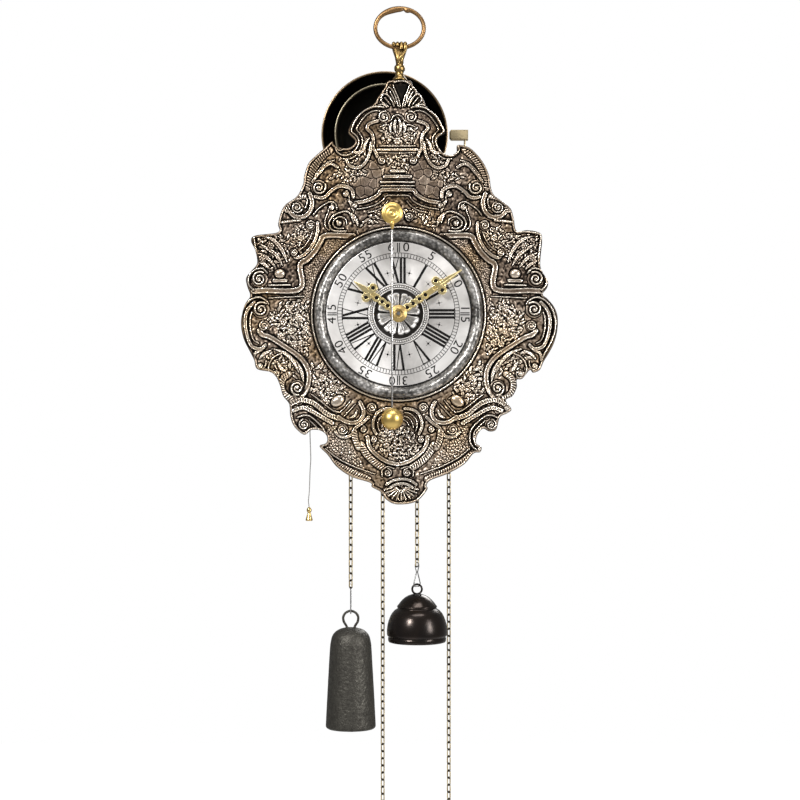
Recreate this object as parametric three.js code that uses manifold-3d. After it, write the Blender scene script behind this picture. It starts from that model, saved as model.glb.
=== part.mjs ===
// Wall clock with a front-swinging pendulum, an embossed front plate, two nested bells
// and two chain-driven weights. Millimetres, +Z up, front towards -Y.
import * as THREE from 'three';
import { mergeVertices } from 'three/addons/utils/BufferGeometryUtils.js';
import Module from 'manifold-3d';

const wasm = await Module();
wasm.setup();

// Front plate: its real width, and the pixels that the width takes in the photograph
const plateWidth = 275.3;
const plateWidthPixels = 316.5;
const pixelSize = plateWidth / plateWidthPixels;
const dialCentreXPixels = 398.5;
const dialCentreYPixels = 314;
const plateThickness = 4;
const plateBevel = 1;
const reliefHeight = 5;

// Clearances shared by every seat and bearing
const gap = 0.3;
const meshGap = 0.15;

// Depths of the layers, from the plate's front face backwards
const movementFrontY = 20;
const movementPlate = 2.2;
const movementClear = 47.8;
const movementFrontInnerY = movementFrontY + movementPlate;
const movementBackY = movementFrontInnerY + movementClear;
const movementRearY = movementBackY + movementPlate;
const chainY = 45;
const greatWheelY = 34;
const centreWheelY = 60;
const wallY = 84;

// Movement plates
const movementHalfWidth = 61;
const movementLow = -62;
const movementShoulder = 80;
const movementHigh = 105;
const movementNeckHalf = 36;

// Dial and its border
const dialRadius = 63.3;
const borderInner = dialRadius + gap;
const borderOuter = 73.5;
const dialThickness = 2.5;
const borderRise = 6;

// Hanging ring and finial
const crestTopPixel = 79.93;
const crestTop = (dialCentreYPixels - crestTopPixel) * pixelSize;
const finialX = 1;
const finialY = 9;
const ringHalfWidth = 23.05;
const ringHalfHeight = 19.15;
const ringWire = 1.9;
const ringSwell = 1.4;
const finialHeight = 33.4;
const ringCentreZ = crestTop + finialHeight + 13.45;
const hookSeatZ = ringCentreZ + ringHalfHeight - 2 * (ringWire + ringSwell);

// Rounds: how many sides a small, a middle and a large round gets
const shaftSides = 6;
const smallSides = 8;
const middleSides = 12;
const largeSides = 40;
const weldDistance = 1e-4;
const halfTurn = Math.PI;
const fullTurn = 2 * Math.PI;

const finishes = {
  plate: { color: 0xb9aa96, roughness: 0.38, metalness: 0.9 },
  pewter: { color: 0xa9a59c, roughness: 0.42, metalness: 0.85 },
  darkPewter: { color: 0x6d6a66, roughness: 0.45, metalness: 0.8 },
  brass: { color: 0xc9a654, roughness: 0.3, metalness: 0.95 },
  paleBrass: { color: 0xd8c48c, roughness: 0.35, metalness: 0.9 },
  steel: { color: 0x8c8c8a, roughness: 0.35, metalness: 0.95 },
  iron: { color: 0x4a4541, roughness: 0.8, metalness: 0.6 },
  bronze: { color: 0x3b3029, roughness: 0.35, metalness: 0.85 },
  thread: { color: 0x8d8a84, roughness: 0.9, metalness: 0 },
};
const materials = Object.fromEntries(
  Object.entries(finishes).map(([name, look]) => [name, new THREE.MeshStandardMaterial(look)]));

const clock = new THREE.Group();
// The hook's seat in the ring is the origin, so everything hangs below it
const hung = new THREE.Group();
hung.position.set(-finialX, -finialY, -hookSeatZ);
clock.add(hung);

function part(name, geometry, material) {
  const mesh = new THREE.Mesh(outward(geometry), materials[material]);
  mesh.name = name;
  hung.add(mesh);
  return mesh;
}

// Shares the corners, drops the collapsed triangles and turns the faces outwards
function outward(geometry) {
  const plain = new THREE.BufferGeometry();
  plain.setAttribute('position', geometry.attributes.position.clone());
  if (geometry.index) plain.setIndex(geometry.index.clone());
  const merged = mergeVertices(plain, weldDistance);
  const place = merged.attributes.position;
  const [a, b, c] = [new THREE.Vector3(), new THREE.Vector3(), new THREE.Vector3()];
  const kept = [];
  let volume = 0;
  for (let i = 0; i < merged.index.count; i += 3) {
    const corners = [0, 1, 2].map((step) => merged.index.getX(i + step));
    if (new Set(corners).size < 3) continue;
    kept.push(...corners);
    [a, b, c].forEach((point, step) => point.fromBufferAttribute(place, corners[step]));
    volume += a.dot(b.cross(c));
  }
  merged.setIndex(volume < 0 ? kept.reverse() : kept);
  return merged;
}

function toSolid(geometry) {
  const shell = outward(geometry);
  return new wasm.Manifold(new wasm.Mesh({
    numProp: 3,
    vertProperties: Float32Array.from(shell.attributes.position.array),
    triVerts: Uint32Array.from(shell.index.array),
  }));
}

function toGeometry(solid) {
  const mesh = solid.getMesh();
  const geometry = new THREE.BufferGeometry();
  geometry.setAttribute('position', new THREE.BufferAttribute(mesh.vertProperties, 3));
  geometry.setIndex(new THREE.BufferAttribute(mesh.triVerts, 1));
  return geometry;
}

function joined(first, ...others) {
  return toGeometry(others.reduce((sum, next) => sum.add(toSolid(next)), toSolid(first)));
}

function cut(first, ...tools) {
  return toGeometry(tools.reduce((rest, tool) => rest.subtract(toSolid(tool)), toSolid(first)));
}

// A flat shape drawn in X and Z, its back face at rearY, growing towards the front
function slab(shape, rearY, thickness, bevel = 0) {
  const geometry = new THREE.ExtrudeGeometry(shape, {
    depth: thickness - 2 * bevel,
    bevelEnabled: bevel > 0,
    bevelThickness: bevel,
    bevelSize: bevel,
    bevelOffset: -bevel,
    bevelSegments: 1,
    curveSegments: 6,
  });
  geometry.rotateX(halfTurn / 2);
  geometry.translate(0, rearY - bevel, 0);
  return geometry;
}

function rodY(radius, frontY, rearY, x, z, sides = smallSides) {
  const geometry = new THREE.CylinderGeometry(radius, radius, rearY - frontY, sides);
  geometry.translate(x, (frontY + rearY) / 2, z);
  return geometry;
}

function rodZ(radius, lowZ, highZ, x, y, sides = smallSides) {
  const geometry = new THREE.CylinderGeometry(radius, radius, highZ - lowZ, sides);
  geometry.rotateX(halfTurn / 2);
  geometry.translate(x, y, (lowZ + highZ) / 2);
  return geometry;
}

// A profile of [radius, place along the axis] pairs, turned about an axis along Y or Z
function turnedY(profile, x, z, sides = middleSides) {
  const geometry = new THREE.LatheGeometry(profile.map(([r, y]) => new THREE.Vector2(r, y)), sides);
  geometry.translate(x, 0, z);
  return geometry;
}

function turnedZ(profile, x, y, sides = middleSides) {
  const geometry = new THREE.LatheGeometry(profile.map(([r, z]) => new THREE.Vector2(r, z)), sides);
  geometry.rotateX(halfTurn / 2);
  geometry.translate(x, y, 0);
  return geometry;
}

function roundShape(radius, sides) {
  const shape = new THREE.Shape();
  shape.setFromPoints(roundPoints(radius, sides, 0, 0));
  return shape;
}

function roundPoints(radius, sides, x, z) {
  return Array.from({ length: sides }, (_, i) => new THREE.Vector2(
    x + radius * Math.cos(fullTurn * i / sides), z + radius * Math.sin(fullTurn * i / sides)));
}

function shapeOf(points) {
  return new THREE.Shape(points.map(([x, z]) => new THREE.Vector2(x, z)));
}

function wireAlong(points, radius, steps, sides = smallSides) {
  const path = new THREE.CatmullRomCurve3(points.map((p) => new THREE.Vector3(...p)));
  return new THREE.ExtrudeGeometry(roundShape(radius, sides), { steps, extrudePath: path });
}

// A closed loop of wire whose radius may change along the way
function wireLoop(curve, radiusAt, steps, sides) {
  const frames = curve.computeFrenetFrames(steps, true);
  const places = [];
  const faces = [];
  for (let i = 0; i < steps; i++) {
    const share = i / steps;
    const centre = curve.getPointAt(share);
    for (let j = 0; j < sides; j++) {
      const angle = fullTurn * j / sides;
      const corner = centre.clone()
        .addScaledVector(frames.normals[i], radiusAt(share) * Math.cos(angle))
        .addScaledVector(frames.binormals[i], radiusAt(share) * Math.sin(angle));
      places.push(corner.x, corner.y, corner.z);
      const [here, right] = [i * sides + j, i * sides + (j + 1) % sides];
      const [ahead, aheadRight] = [here, right].map((k) => (k + sides) % (steps * sides));
      faces.push(here, right, aheadRight, here, aheadRight, ahead);
    }
  }
  const geometry = new THREE.BufferGeometry();
  geometry.setAttribute('position', new THREE.Float32BufferAttribute(places, 3));
  geometry.setIndex(faces);
  return geometry;
}

// Toothed wheels: wheels have a corner at each tip and each root, pinions have flat-bottomed roots
const toothRiseShare = 0.85;
const toothFallShare = 1.15;
const toothBaseShare = 0.46;
const mostLeaves = 12;

function toothedPoints(teeth, pitchRadius, phase) {
  const toothModule = 2 * pitchRadius / teeth;
  const tip = pitchRadius + toothRiseShare * toothModule;
  const root = pitchRadius - toothFallShare * toothModule;
  const points = [];
  for (let i = 0; i < teeth; i++) {
    const middle = phase + fullTurn * i / teeth;
    const half = toothBaseShare * halfTurn / teeth;
    const corners = teeth > mostLeaves
      ? [[root, middle - halfTurn / teeth], [tip, middle]]
      : [[root, middle - half], [tip, middle], [root, middle + half]];
    for (const [radius, angle] of corners) {
      points.push(new THREE.Vector2(radius * Math.cos(angle), radius * Math.sin(angle)));
    }
  }
  return points;
}

// Windows between the spokes of a wheel, from the hub's edge to the rim's inner edge
function addWindows(shape, spokes, hubRadius, rimRadius, spokeWidth, turn = 0) {
  for (let i = 0; i < spokes; i++) {
    const window = [];
    const [start, end] = [i, i + 1].map((k) => turn + fullTurn * k / spokes);
    const outerHalf = Math.asin(spokeWidth / 2 / rimRadius);
    const innerHalf = Math.asin(spokeWidth / 2 / hubRadius);
    for (let k = 0; k <= 2; k++) {
      const angle = THREE.MathUtils.lerp(start + outerHalf, end - outerHalf, k / 2);
      window.push(new THREE.Vector2(rimRadius * Math.cos(angle), rimRadius * Math.sin(angle)));
    }
    for (let k = 1; k >= 0; k--) {
      const angle = THREE.MathUtils.lerp(start + innerHalf, end - innerHalf, k);
      window.push(new THREE.Vector2(hubRadius * Math.cos(angle), hubRadius * Math.sin(angle)));
    }
    shape.holes.push(new THREE.Path(window));
  }
}

function spurWheel({ teeth, pitchRadius, phase, hole, frontY, thickness, at, spokes = 0, hub, rim, spoke }) {
  const shape = new THREE.Shape(toothedPoints(teeth, pitchRadius, phase));
  if (hole) shape.holes.push(new THREE.Path(roundPoints(hole, smallSides, 0, 0)));
  if (spokes) addWindows(shape, spokes, hub, rim, spoke);
  const geometry = slab(shape, frontY + thickness, thickness);
  geometry.translate(at[0], 0, at[1]);
  return geometry;
}

// A ring with teeth standing up from it, drawn about Z, leaning by a share of half a tooth
function facedRing({ teeth, outer, inner, base, root, tip, phase = 0, lean = 0 }) {
  const places = [];
  const faces = [];
  for (let i = 0; i < teeth; i++) {
    const middle = phase + fullTurn * i / teeth;
    const edge = middle - halfTurn / teeth;
    const crest = middle + lean * halfTurn / teeth;
    for (const radius of [outer, inner]) {
      for (const [angle, height] of [[edge, base], [edge, root], [crest, tip]]) {
        places.push(radius * Math.cos(angle), radius * Math.sin(angle), height);
      }
    }
    const [low, edgeTop, top, lowIn, edgeTopIn, topIn] = [0, 1, 2, 3, 4, 5].map((k) => 6 * i + k);
    const [lowNext, edgeNext, , lowInNext, edgeInNext] = [0, 1, 2, 3, 4].map((k) => (6 * (i + 1) + k) % (6 * teeth));
    faces.push(low, lowNext, top, low, top, edgeTop, lowNext, edgeNext, top);
    faces.push(lowIn, topIn, lowInNext, lowIn, edgeTopIn, topIn, lowInNext, topIn, edgeInNext);
    faces.push(edgeTop, top, topIn, edgeTop, topIn, edgeTopIn, top, edgeNext, edgeInNext, top, edgeInNext, topIn);
    faces.push(low, lowIn, lowInNext, low, lowInNext, lowNext);
  }
  const geometry = new THREE.BufferGeometry();
  geometry.setAttribute('position', new THREE.Float32BufferAttribute(places, 3));
  geometry.setIndex(faces);
  return geometry;
}

const between = (a, b) => Math.hypot(b[0] - a[0], b[1] - a[1]);
const heading = (a, b) => Math.atan2(b[1] - a[1], b[0] - a[0]);
// The phase that puts a gap of a wheel opposite the tooth that its neighbour points at it
const gapTowards = (from, to, teeth) => heading(from, to) + halfTurn / teeth;

// Front plate outline in the photograph's pixels, clockwise from the crest
const outlinePixels = [
  [399, 80], [410, 80.6], [414.3, 87.7], [423, 98.3], [427.7, 107.8], [436.3, 115.5], [442, 125],
  [445, 132.7], [438.2, 136.6], [437, 143.5], [442.2, 152], [450.4, 155.1], [456.5, 152],
  [457.6, 144.9], [468.8, 147], [478, 155.1], [485.1, 165.3], [489.2, 175.5], [491.2, 187.8],
  [494.3, 194.9], [503.5, 202], [510.6, 208.2], [513.7, 217.3], [516.7, 230.6], [528, 230],
  [540.2, 232.7], [542.2, 240.8], [540.7, 257], [541, 268], [547.8, 281], [547.3, 287.6],
  [542.9, 294.1], [547.3, 298.4], [553.8, 306], [557.6, 315.8], [557.6, 328.8], [554.9, 340.7],
  [550.5, 350.5], [544, 361.3], [539.7, 370], [533.2, 372.7], [529.9, 370], [522.3, 378.7],
  [516.9, 379.8], [516.9, 387.4], [512.6, 396], [506, 400.4], [511.5, 409.1], [507.1, 413.4],
  [500, 417.4], [496.2, 429.5], [489.5, 431.5], [482.9, 428.8], [477.5, 434.8], [476.2, 442.9],
  [481.5, 446.9], [480.2, 452.2], [473.5, 453.6], [464.1, 464.3], [448, 473.7], [430.6, 480.4],
  [426.6, 485.7], [427.3, 489.7], [415.9, 501.8], [397, 504.5], [386.4, 499.8], [381.1, 492.4],
  [371.7, 487], [370.4, 483], [351.6, 477], [336.9, 467], [327.5, 454.9], [319.5, 446.2],
  [326.2, 442.9], [326.8, 436.2], [320.8, 430.8], [311.4, 430.1], [304.7, 434.8], [298, 430.8],
  [292.7, 424.1], [290, 415], [289, 404], [283, 396], [280, 386], [276, 377], [270, 372],
  [257, 369], [254, 360], [250, 352], [244, 340], [241, 327], [241.5, 316], [245, 304], [250, 296],
  [247, 286], [246, 278], [251, 271], [257, 263], [255, 250], [251, 241], [255, 235.5], [278, 232],
  [278, 224], [281, 212], [286, 204], [297, 196], [303, 184], [304, 176], [308, 164], [313, 158],
  [324.4, 148], [332, 141.3], [334.9, 145.2], [342.5, 148], [350.2, 147], [355, 141.3],
  [348.3, 133.7], [349.2, 127], [355, 117.4], [363.6, 109.8], [374, 103.5], [377, 98.3],
  [384, 88], [388, 81],
];
const fromPixels = ([x, y]) => [
  (x - dialCentreXPixels) * pixelSize, (dialCentreYPixels - y) * pixelSize];

// Arbors: where each one stands in X and Z, worked out from the train's centre distances
const centreAt = [0, 0];
const sprocketDrop = -20;
const goingAt = [-28.4, sprocketDrop];
const strikingAt = [30.8, sprocketDrop];
const greatTeeth = 48;
const centrePinionTeeth = 12;
const greatRadius = between(goingAt, centreAt) * greatTeeth / (greatTeeth + centrePinionTeeth);
const centrePinionRadius = greatRadius * centrePinionTeeth / greatTeeth;
const pinionTeeth = 6;
const centreTeeth = 60;
const centreWheelRadius = 27;
const contratePinionRadius = centreWheelRadius * pinionTeeth / centreTeeth;
const pendulumX = -5.5;
const contrateReach = centreWheelRadius + contratePinionRadius;
const contrateAt = [pendulumX, Math.sqrt(contrateReach ** 2 - pendulumX ** 2)];
const contrateTeeth = 54;
const contrateRadius = 20.25;
const crownPinionRadius = contrateRadius * pinionTeeth / contrateTeeth;
const vergeAt = [pendulumX, 86];
const crownTeeth = 47;
const crownRadius = 13;
const strikePinionTeeth = 8;
const strikePinionRadius = greatRadius * strikePinionTeeth / greatTeeth;
const lockingX = 28;
const lockingReach = greatRadius + strikePinionRadius;
const lockingAt = [lockingX,
  strikingAt[1] + Math.sqrt(lockingReach ** 2 - (lockingX - strikingAt[0]) ** 2)];
const lockingTeeth = 60;
const lockingRadius = 22.5;
const warningPinionRadius = lockingRadius * pinionTeeth / lockingTeeth;
const warningX = 39;
const warningReach = lockingRadius + warningPinionRadius;
const warningAt = [warningX,
  lockingAt[1] + Math.sqrt(warningReach ** 2 - (warningX - lockingX) ** 2)];
const warningTeeth = 48;
const warningRadius = 14.4;
const flyPinionRadius = warningRadius * pinionTeeth / warningTeeth;
const flyX = 43;
const flyReach = warningRadius + flyPinionRadius;
const flyAt = [flyX, warningAt[1] + Math.sqrt(flyReach ** 2 - (flyX - warningX) ** 2)];
const strikeHammerAt = [54, 14];
const quarterHammerAt = [-54, 14];
const leverAt = [-52, -36];

// Motion work: 12 to 36 and 10 to 40 leaves, which turn the hour hand once in twelve turns
const cannonTeeth = 12;
const minuteTeeth = 36;
const minutePinionTeeth = 10;
const hourTeeth = 40;
const motionReach = 17.5;
const minuteWheelAt = [motionReach * Math.SQRT1_2, -motionReach * Math.SQRT1_2];

// Bearings
const arborRadius = 1.6;
const pivotRadius = 1.2;
const pivotHole = pivotRadius + gap;
const pillarRadius = 3.5;
const postRadius = 3;
const studRadius = 1.5;

// Front plate, in one casting: rim, raised fields, scroll bosses and mouldings
const dialSeatRadius = borderOuter + 1.6;
const plateHoleRadius = 6;
const vergeHoleRadius = 3;
// Bosses: photograph pixel x, pixel y, radius in pixels
const bossPixels = [
  [411, 117, 7], [383, 115, 7], [453, 146, 5], [475, 186, 8], [317, 184, 8],
  [454, 217, 7], [336, 222, 7], [535, 279.5, 8], [260, 279.5, 8], [535, 309, 9],
  [262, 309, 9], [498, 389, 8], [300, 390, 8], [452.5, 429, 7], [346, 432, 7],
];
const bossRiseShare = 0.55;
const bossSides = 6;

function boss([x, y, radius]) {
  const [centreX, centreZ] = fromPixels([x, y]);
  const size = radius * pixelSize;
  const rise = size * bossRiseShare;
  return turnedY([
    [0, plateThickness / 2], [size, plateThickness / 2], [size * 0.55, -rise], [0, -rise],
  ], centreX, centreZ, bossSides);
}

// Chased mouldings of the plate: photograph pixels of the right half, struck again on the left
const mouldingPixels = [
  [[408, 111], [424, 112.4], [435, 119.5], [438.5, 129], [432.8, 137.5], [434.6, 150], [443.5, 158.5], [458, 156.5]],
  [[467, 152], [477.5, 161], [484.3, 175], [487, 188]],
  [[442.7, 200.7], [448.1, 190], [462, 189.6], [475, 197.6]],
  [[485, 194], [480.6, 206], [487, 214.6], [497, 215.4]],
  [[442.7, 234.8], [470.9, 234.2], [476.3, 246.7], [486, 259.7], [496.6, 267.3], [498, 285.7], [537, 289.6]],
  [[527, 303], [541.7, 300.5], [551.4, 311], [552.6, 333], [546.4, 347.7], [539.5, 356.5]],
  [[528, 333.3], [498, 352.4], [486.5, 368], [484.6, 385], [490, 396]],
  [[433.4, 403], [433, 416.5], [445, 422.7], [459, 415.2], [483, 400.8], [496, 398.6]],
  [[497, 416.5], [484, 416.2], [473, 425], [468.6, 436], [470, 445]],
  [[427.5, 478], [446, 469.8], [462, 458.6], [470, 451.4]],
];
// Mouldings that cross the middle, from the right side to the axis
const crossingPixels = [
  [[440.5, 209.4], [423.2, 205], [414.5, 197.6], [409, 192]],
  [[426.3, 436], [426.3, 445.9], [417.3, 455.8], [406.6, 461.5]],
  [[417, 186]], [[413.5, 176.4]], [[417, 149]],
];
const mirrorPixel = 397.5;
const mouldingHalf = 2.2;
const mouldingRise = 2.6;
const mouldingSunk = 0.8;
const mirrored = ([x, y]) => [2 * mirrorPixel - x, y];

function moulding(pixels) {
  const line = pixels.map(fromPixels);
  const last = line.length - 1;
  const places = line.flatMap(([x, z], i) => {
    const ahead = line[Math.min(i + 1, last)];
    const behind = line[Math.max(i - 1, 0)];
    const along = heading(behind, ahead);
    const [sideX, sideZ] = [-Math.sin(along) * mouldingHalf, Math.cos(along) * mouldingHalf];
    return [x + sideX, mouldingSunk, z + sideZ, x, -mouldingRise, z, x - sideX, mouldingSunk, z - sideZ];
  });
  const faces = [0, 1, 2, 3 * last + 2, 3 * last + 1, 3 * last];
  for (let i = 0; i < last; i++) {
    for (let j = 0; j < 3; j++) {
      const [here, right] = [3 * i + j, 3 * i + (j + 1) % 3];
      faces.push(here, here + 3, right, right, here + 3, right + 3);
    }
  }
  const geometry = new THREE.BufferGeometry();
  geometry.setAttribute('position', new THREE.Float32BufferAttribute(places, 3));
  geometry.setIndex(faces);
  return geometry;
}
const mouldings = [
  ...mouldingPixels.flatMap((points) => [points, points.map(mirrored)]),
  ...crossingPixels.map((points) => [...points, ...points.map(mirrored).reverse()]),
].map(moulding);

function plateGeometry() {
  const base = slab(shapeOf(outlinePixels.map(fromPixels)), plateThickness, plateThickness, plateBevel);
  const seat = turnedY([
    [borderOuter + gap, plateThickness / 2], [dialSeatRadius + reliefHeight, plateThickness / 2],
    [dialSeatRadius + reliefHeight, -reliefHeight / 4], [dialSeatRadius + reliefHeight / 2, -reliefHeight / 2],
    [borderOuter + gap, -reliefHeight / 4], [borderOuter + gap, plateThickness / 2],
  ], 0, 0, largeSides);
  const raised = joined(base, seat, ...mouldings, ...bossPixels.map(boss));
  return cut(raised,
    rodY(plateHoleRadius, -reliefHeight, 2 * plateThickness, 0, 0, middleSides),
    rodY(vergeHoleRadius, -reliefHeight, 2 * plateThickness, ...vergeAt, smallSides));
}
part('front_plate', plateGeometry(), 'plate');

// Dial and its convex border
const hourPipeOuter = 4;
const dialRearY = -gap;
const dialHole = hourPipeOuter + gap + gap;
part('dial', turnedY([
  [dialHole, dialRearY], [dialRadius, dialRearY], [dialRadius, dialRearY - dialThickness],
  [dialHole, dialRearY - dialThickness], [dialHole, dialRearY],
], 0, 0, largeSides), 'pewter');
const borderMiddle = (borderInner + borderOuter) / 2;
part('dial_border', turnedY([
  [borderInner, dialRearY], [borderOuter, dialRearY], [borderOuter, dialRearY - borderRise / 3],
  [borderMiddle, dialRearY - borderRise], [borderInner, dialRearY - dialThickness], [borderInner, dialRearY],
], 0, 0, largeSides), 'darkPewter');

// Movement plates, with the posts that carry the front plate and the studs riveted in
const postPlaces = [[-44, 74], [44, 74], [-44, -54], [44, -54]];
const pillarPlaces = [[-28, 97], [28, 97], [-55, -55], [55, -55]];
const vergeBearing = arborRadius + gap;
// A six-sided hole clears a round of this share of its corner radius
const holeGrowth = Math.cos(halfTurn / shaftSides);
const frontHoles = [
  [centreAt, arborRadius + gap], [goingAt, pivotHole], [strikingAt, pivotHole],
  [contrateAt, pivotHole], [vergeAt, vergeBearing], [lockingAt, pivotHole], [warningAt, pivotHole],
  [flyAt, pivotHole], [strikeHammerAt, pivotHole], [quarterHammerAt, pivotHole],
];
const backHoles = frontHoles.map(([at]) => [at, pivotHole]);

function movementShape(holes) {
  const shape = new THREE.Shape();
  shape.moveTo(-movementHalfWidth, movementLow);
  shape.lineTo(movementHalfWidth, movementLow);
  shape.lineTo(movementHalfWidth, movementShoulder);
  shape.quadraticCurveTo(movementNeckHalf, movementShoulder, movementNeckHalf, movementHigh);
  shape.lineTo(-movementNeckHalf, movementHigh);
  shape.quadraticCurveTo(-movementNeckHalf, movementShoulder, -movementHalfWidth, movementShoulder);
  for (const [[x, z], radius] of holes) {
    shape.holes.push(new THREE.Path(roundPoints(radius / holeGrowth, shaftSides, x, z)));
  }
  return shape;
}
const minuteStudTip = movementFrontY - 13.5;
const leverStudTip = movementFrontInnerY + 5;
part('movement_front_plate', joined(
  slab(movementShape(frontHoles), movementFrontInnerY, movementPlate),
  ...postPlaces.map(([x, z]) => rodY(postRadius, plateThickness + gap, movementFrontInnerY, x, z)),
  rodY(studRadius, minuteStudTip, movementFrontInnerY, ...minuteWheelAt),
  rodY(studRadius, movementFrontY, leverStudTip, ...leverAt),
), 'brass');
part('movement_back_plate', slab(movementShape(backHoles), movementRearY, movementPlate), 'brass');

const pillarNames = ['upper_left', 'upper_right', 'lower_left', 'lower_right'];
const pillarFront = movementFrontInnerY + gap;
const pillarRear = movementBackY - gap;
const pillarCollar = 3;
pillarPlaces.forEach(([x, z], i) => {
  part(`pillar_${pillarNames[i]}`, turnedY([
    [0, pillarFront], [pillarRadius, pillarFront], [pillarRadius * 0.7, pillarFront + 2 * pillarCollar],
    [pillarRadius * 0.7, pillarRear - 2 * pillarCollar], [pillarRadius, pillarRear], [0, pillarRear],
  ], x, z, shaftSides), 'brass');
});

// Spacers that keep the lower end of the movement off the wall
const spacerRadius = 5;
const spacerPlaces = { left: [-46, -50], right: [46, -50] };
for (const [side, [x, z]] of Object.entries(spacerPlaces)) {
  part(`wall_spacer_${side}`, turnedY([
    [0, movementRearY + gap], [spacerRadius, movementRearY + gap], [spacerRadius * 0.7, movementRearY + gap + 4],
    [spacerRadius, wallY - 2], [spacerRadius, wallY], [0, wallY],
  ], x, z, smallSides), 'brass');
}

// Hanger strap: an iron bar, cranked back to the movement, that carries the finial
const strapHalf = 7;
const strapFrontY = 8;
const strapThick = 2.4;
const strapRearY = movementFrontY - gap;
const strapTop = crestTop + 2 * gap;
const strapFootLow = 91;
const strapFootHigh = 103;
const strapCrank = 12;
const strapSide = new THREE.Shape([
  [strapFrontY, strapTop], [strapFrontY, strapFootHigh + strapCrank],
  [strapRearY - strapThick, strapFootHigh], [strapRearY - strapThick, strapFootLow],
  [strapRearY, strapFootLow], [strapRearY, strapFootHigh + strapThick / 2],
  [strapFrontY + strapThick, strapFootHigh + strapCrank + strapThick / 2], [strapFrontY + strapThick, strapTop],
].map(([y, z]) => new THREE.Vector2(y, z)));
const strap = new THREE.ExtrudeGeometry(strapSide, { depth: 2 * strapHalf, bevelEnabled: false });
strap.rotateX(halfTurn / 2);
strap.rotateZ(halfTurn / 2);
strap.translate(finialX - strapHalf, 0, 0);
part('hanger_strap', strap, 'iron');

// Finial: a closed hand on a turned wrist, bored so that the ring turns inside it
const finialLow = strapTop + gap;
const handWidth = 14;
const handDepth = 12;
const handLow = finialLow + 14.5;
const handHigh = crestTop + 33.9;
const ringHingeZ = ringCentreZ - (ringHalfHeight - ringWire);
const fingerCount = 4;

function finialGeometry() {
  const wrist = turnedZ([
    [0, finialLow], [6.4, finialLow], [6.2, finialLow + 1.6], [3.6, finialLow + 4.6], [3.4, finialLow + 7.8],
    [4.6, finialLow + 8.8], [4.6, finialLow + 12.4], [3.4, finialLow + 13.6], [3.4, handLow + 3], [0, handLow + 3],
  ], finialX, finialY, smallSides);
  const half = handWidth / 2;
  const handOutline = shapeOf([
    [-half * 0.5, handLow], [half * 0.5, handLow], [half * 0.8, handLow + 6], [half, handHigh - 8],
    [half * 0.96, handHigh - 2], [half * 0.7, handHigh], [-half * 0.7, handHigh],
    [-half * 0.96, handHigh - 2], [-half, handHigh - 8], [-half * 0.8, handLow + 6],
  ]);
  const palm = slab(handOutline, finialY + handDepth / 2, handDepth, handDepth / 6);
  palm.translate(finialX, 0, 0);
  const fingerRadius = handWidth / fingerCount / 2;
  const fingers = Array.from({ length: fingerCount }, (_, i) => {
    const x = finialX - half + fingerRadius * (2 * i + 1);
    const front = finialY - handDepth / 2;
    return wireAlong([
      [x, finialY, handHigh - fingerRadius], [x, front + fingerRadius, handHigh - fingerRadius],
      [x, front, handHigh - 3 * fingerRadius], [x, front + fingerRadius / 2, handHigh - 6 * fingerRadius],
    ], fingerRadius * 0.98, 3, shaftSides);
  });
  const bore = [];
  const boreSteps = 4;
  for (let i = 0; i <= boreSteps; i++) {
    const along = (i / boreSteps - 0.5) * (handWidth + ringWire);
    const rise = (ringHalfHeight - ringWire) * (1 - Math.sqrt(1 - (along / (ringHalfWidth - ringWire)) ** 2));
    bore.push([ringWire + gap + gap / 2 + rise, along]);
  }
  const tool = turnedY([[0, bore[0][1]], ...bore, [0, bore.at(-1)[1]]], 0, 0, smallSides);
  tool.rotateZ(halfTurn / 2);
  tool.translate(finialX, finialY, ringHingeZ);
  return cut(joined(wrist, palm, ...fingers), tool);
}
part('finial', finialGeometry(), 'brass');

// Hanging ring: an oval that swells where its ends overlap at the top
class Oval extends THREE.Curve {
  getPoint(share) {
    const angle = fullTurn * share;
    const wire = ringWireAt(share);
    return new THREE.Vector3(finialX + (ringHalfWidth - wire) * Math.cos(angle), finialY,
      ringCentreZ + (ringHalfHeight - wire) * Math.sin(angle));
  }
}
function ringWireAt(share) {
  return ringWire + ringSwell * Math.max(0, Math.sin(fullTurn * share)) ** 6;
}
class OvalByAngle extends Oval {
  getPointAt(share) {
    return this.getPoint(share);
  }

  getTangentAt(share) {
    return this.getTangent(share);
  }
}
part('hanging_ring', wireLoop(new OvalByAngle(), ringWireAt, 24, shaftSides), 'bronze');

// Bells: nested, mouths to the front, on one stud
const bellX = -12.3;
const bellLowest = 104.3;
const bellStudRadius = 2.5;
const bellHole = bellStudRadius + gap;
const bellWall = 2;
const outerBell = { radius: 56.3, mouthY: 32, depth: 30 };
const innerBell = { radius: 44.4, mouthY: 25, depth: 26 };
const bellZ = bellLowest + outerBell.radius;
const bellSides = 24;

// Profile shares: radius share, depth share from the mouth
const bellShares = [[1, 0], [0.965, 0.3], [0.82, 0.66], [0.5, 0.92]];

function bellGeometry({ radius, mouthY, depth }, crownRear, bossRadius) {
  const outside = bellShares.map(([r, d]) => [radius * r, mouthY + depth * d]);
  const inside = bellShares.map(([r, d]) => [radius * r - bellWall, mouthY + (depth - bellWall) * d]).reverse();
  const crown = mouthY + depth;
  const profile = [...outside, [bossRadius, crown], [bossRadius, crownRear], [bellHole, crownRear],
    [bellHole, crown - bellWall], ...inside, outside[0]];
  return turnedY(profile, bellX, bellZ, bellSides);
}
const studShoulderY = outerBell.mouthY + outerBell.depth + 1 + gap;
part('outer_bell', bellGeometry(outerBell, studShoulderY - gap, 7), 'bronze');
part('inner_bell', bellGeometry(innerBell, outerBell.mouthY + outerBell.depth - bellWall - gap, 5), 'bronze');

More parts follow.
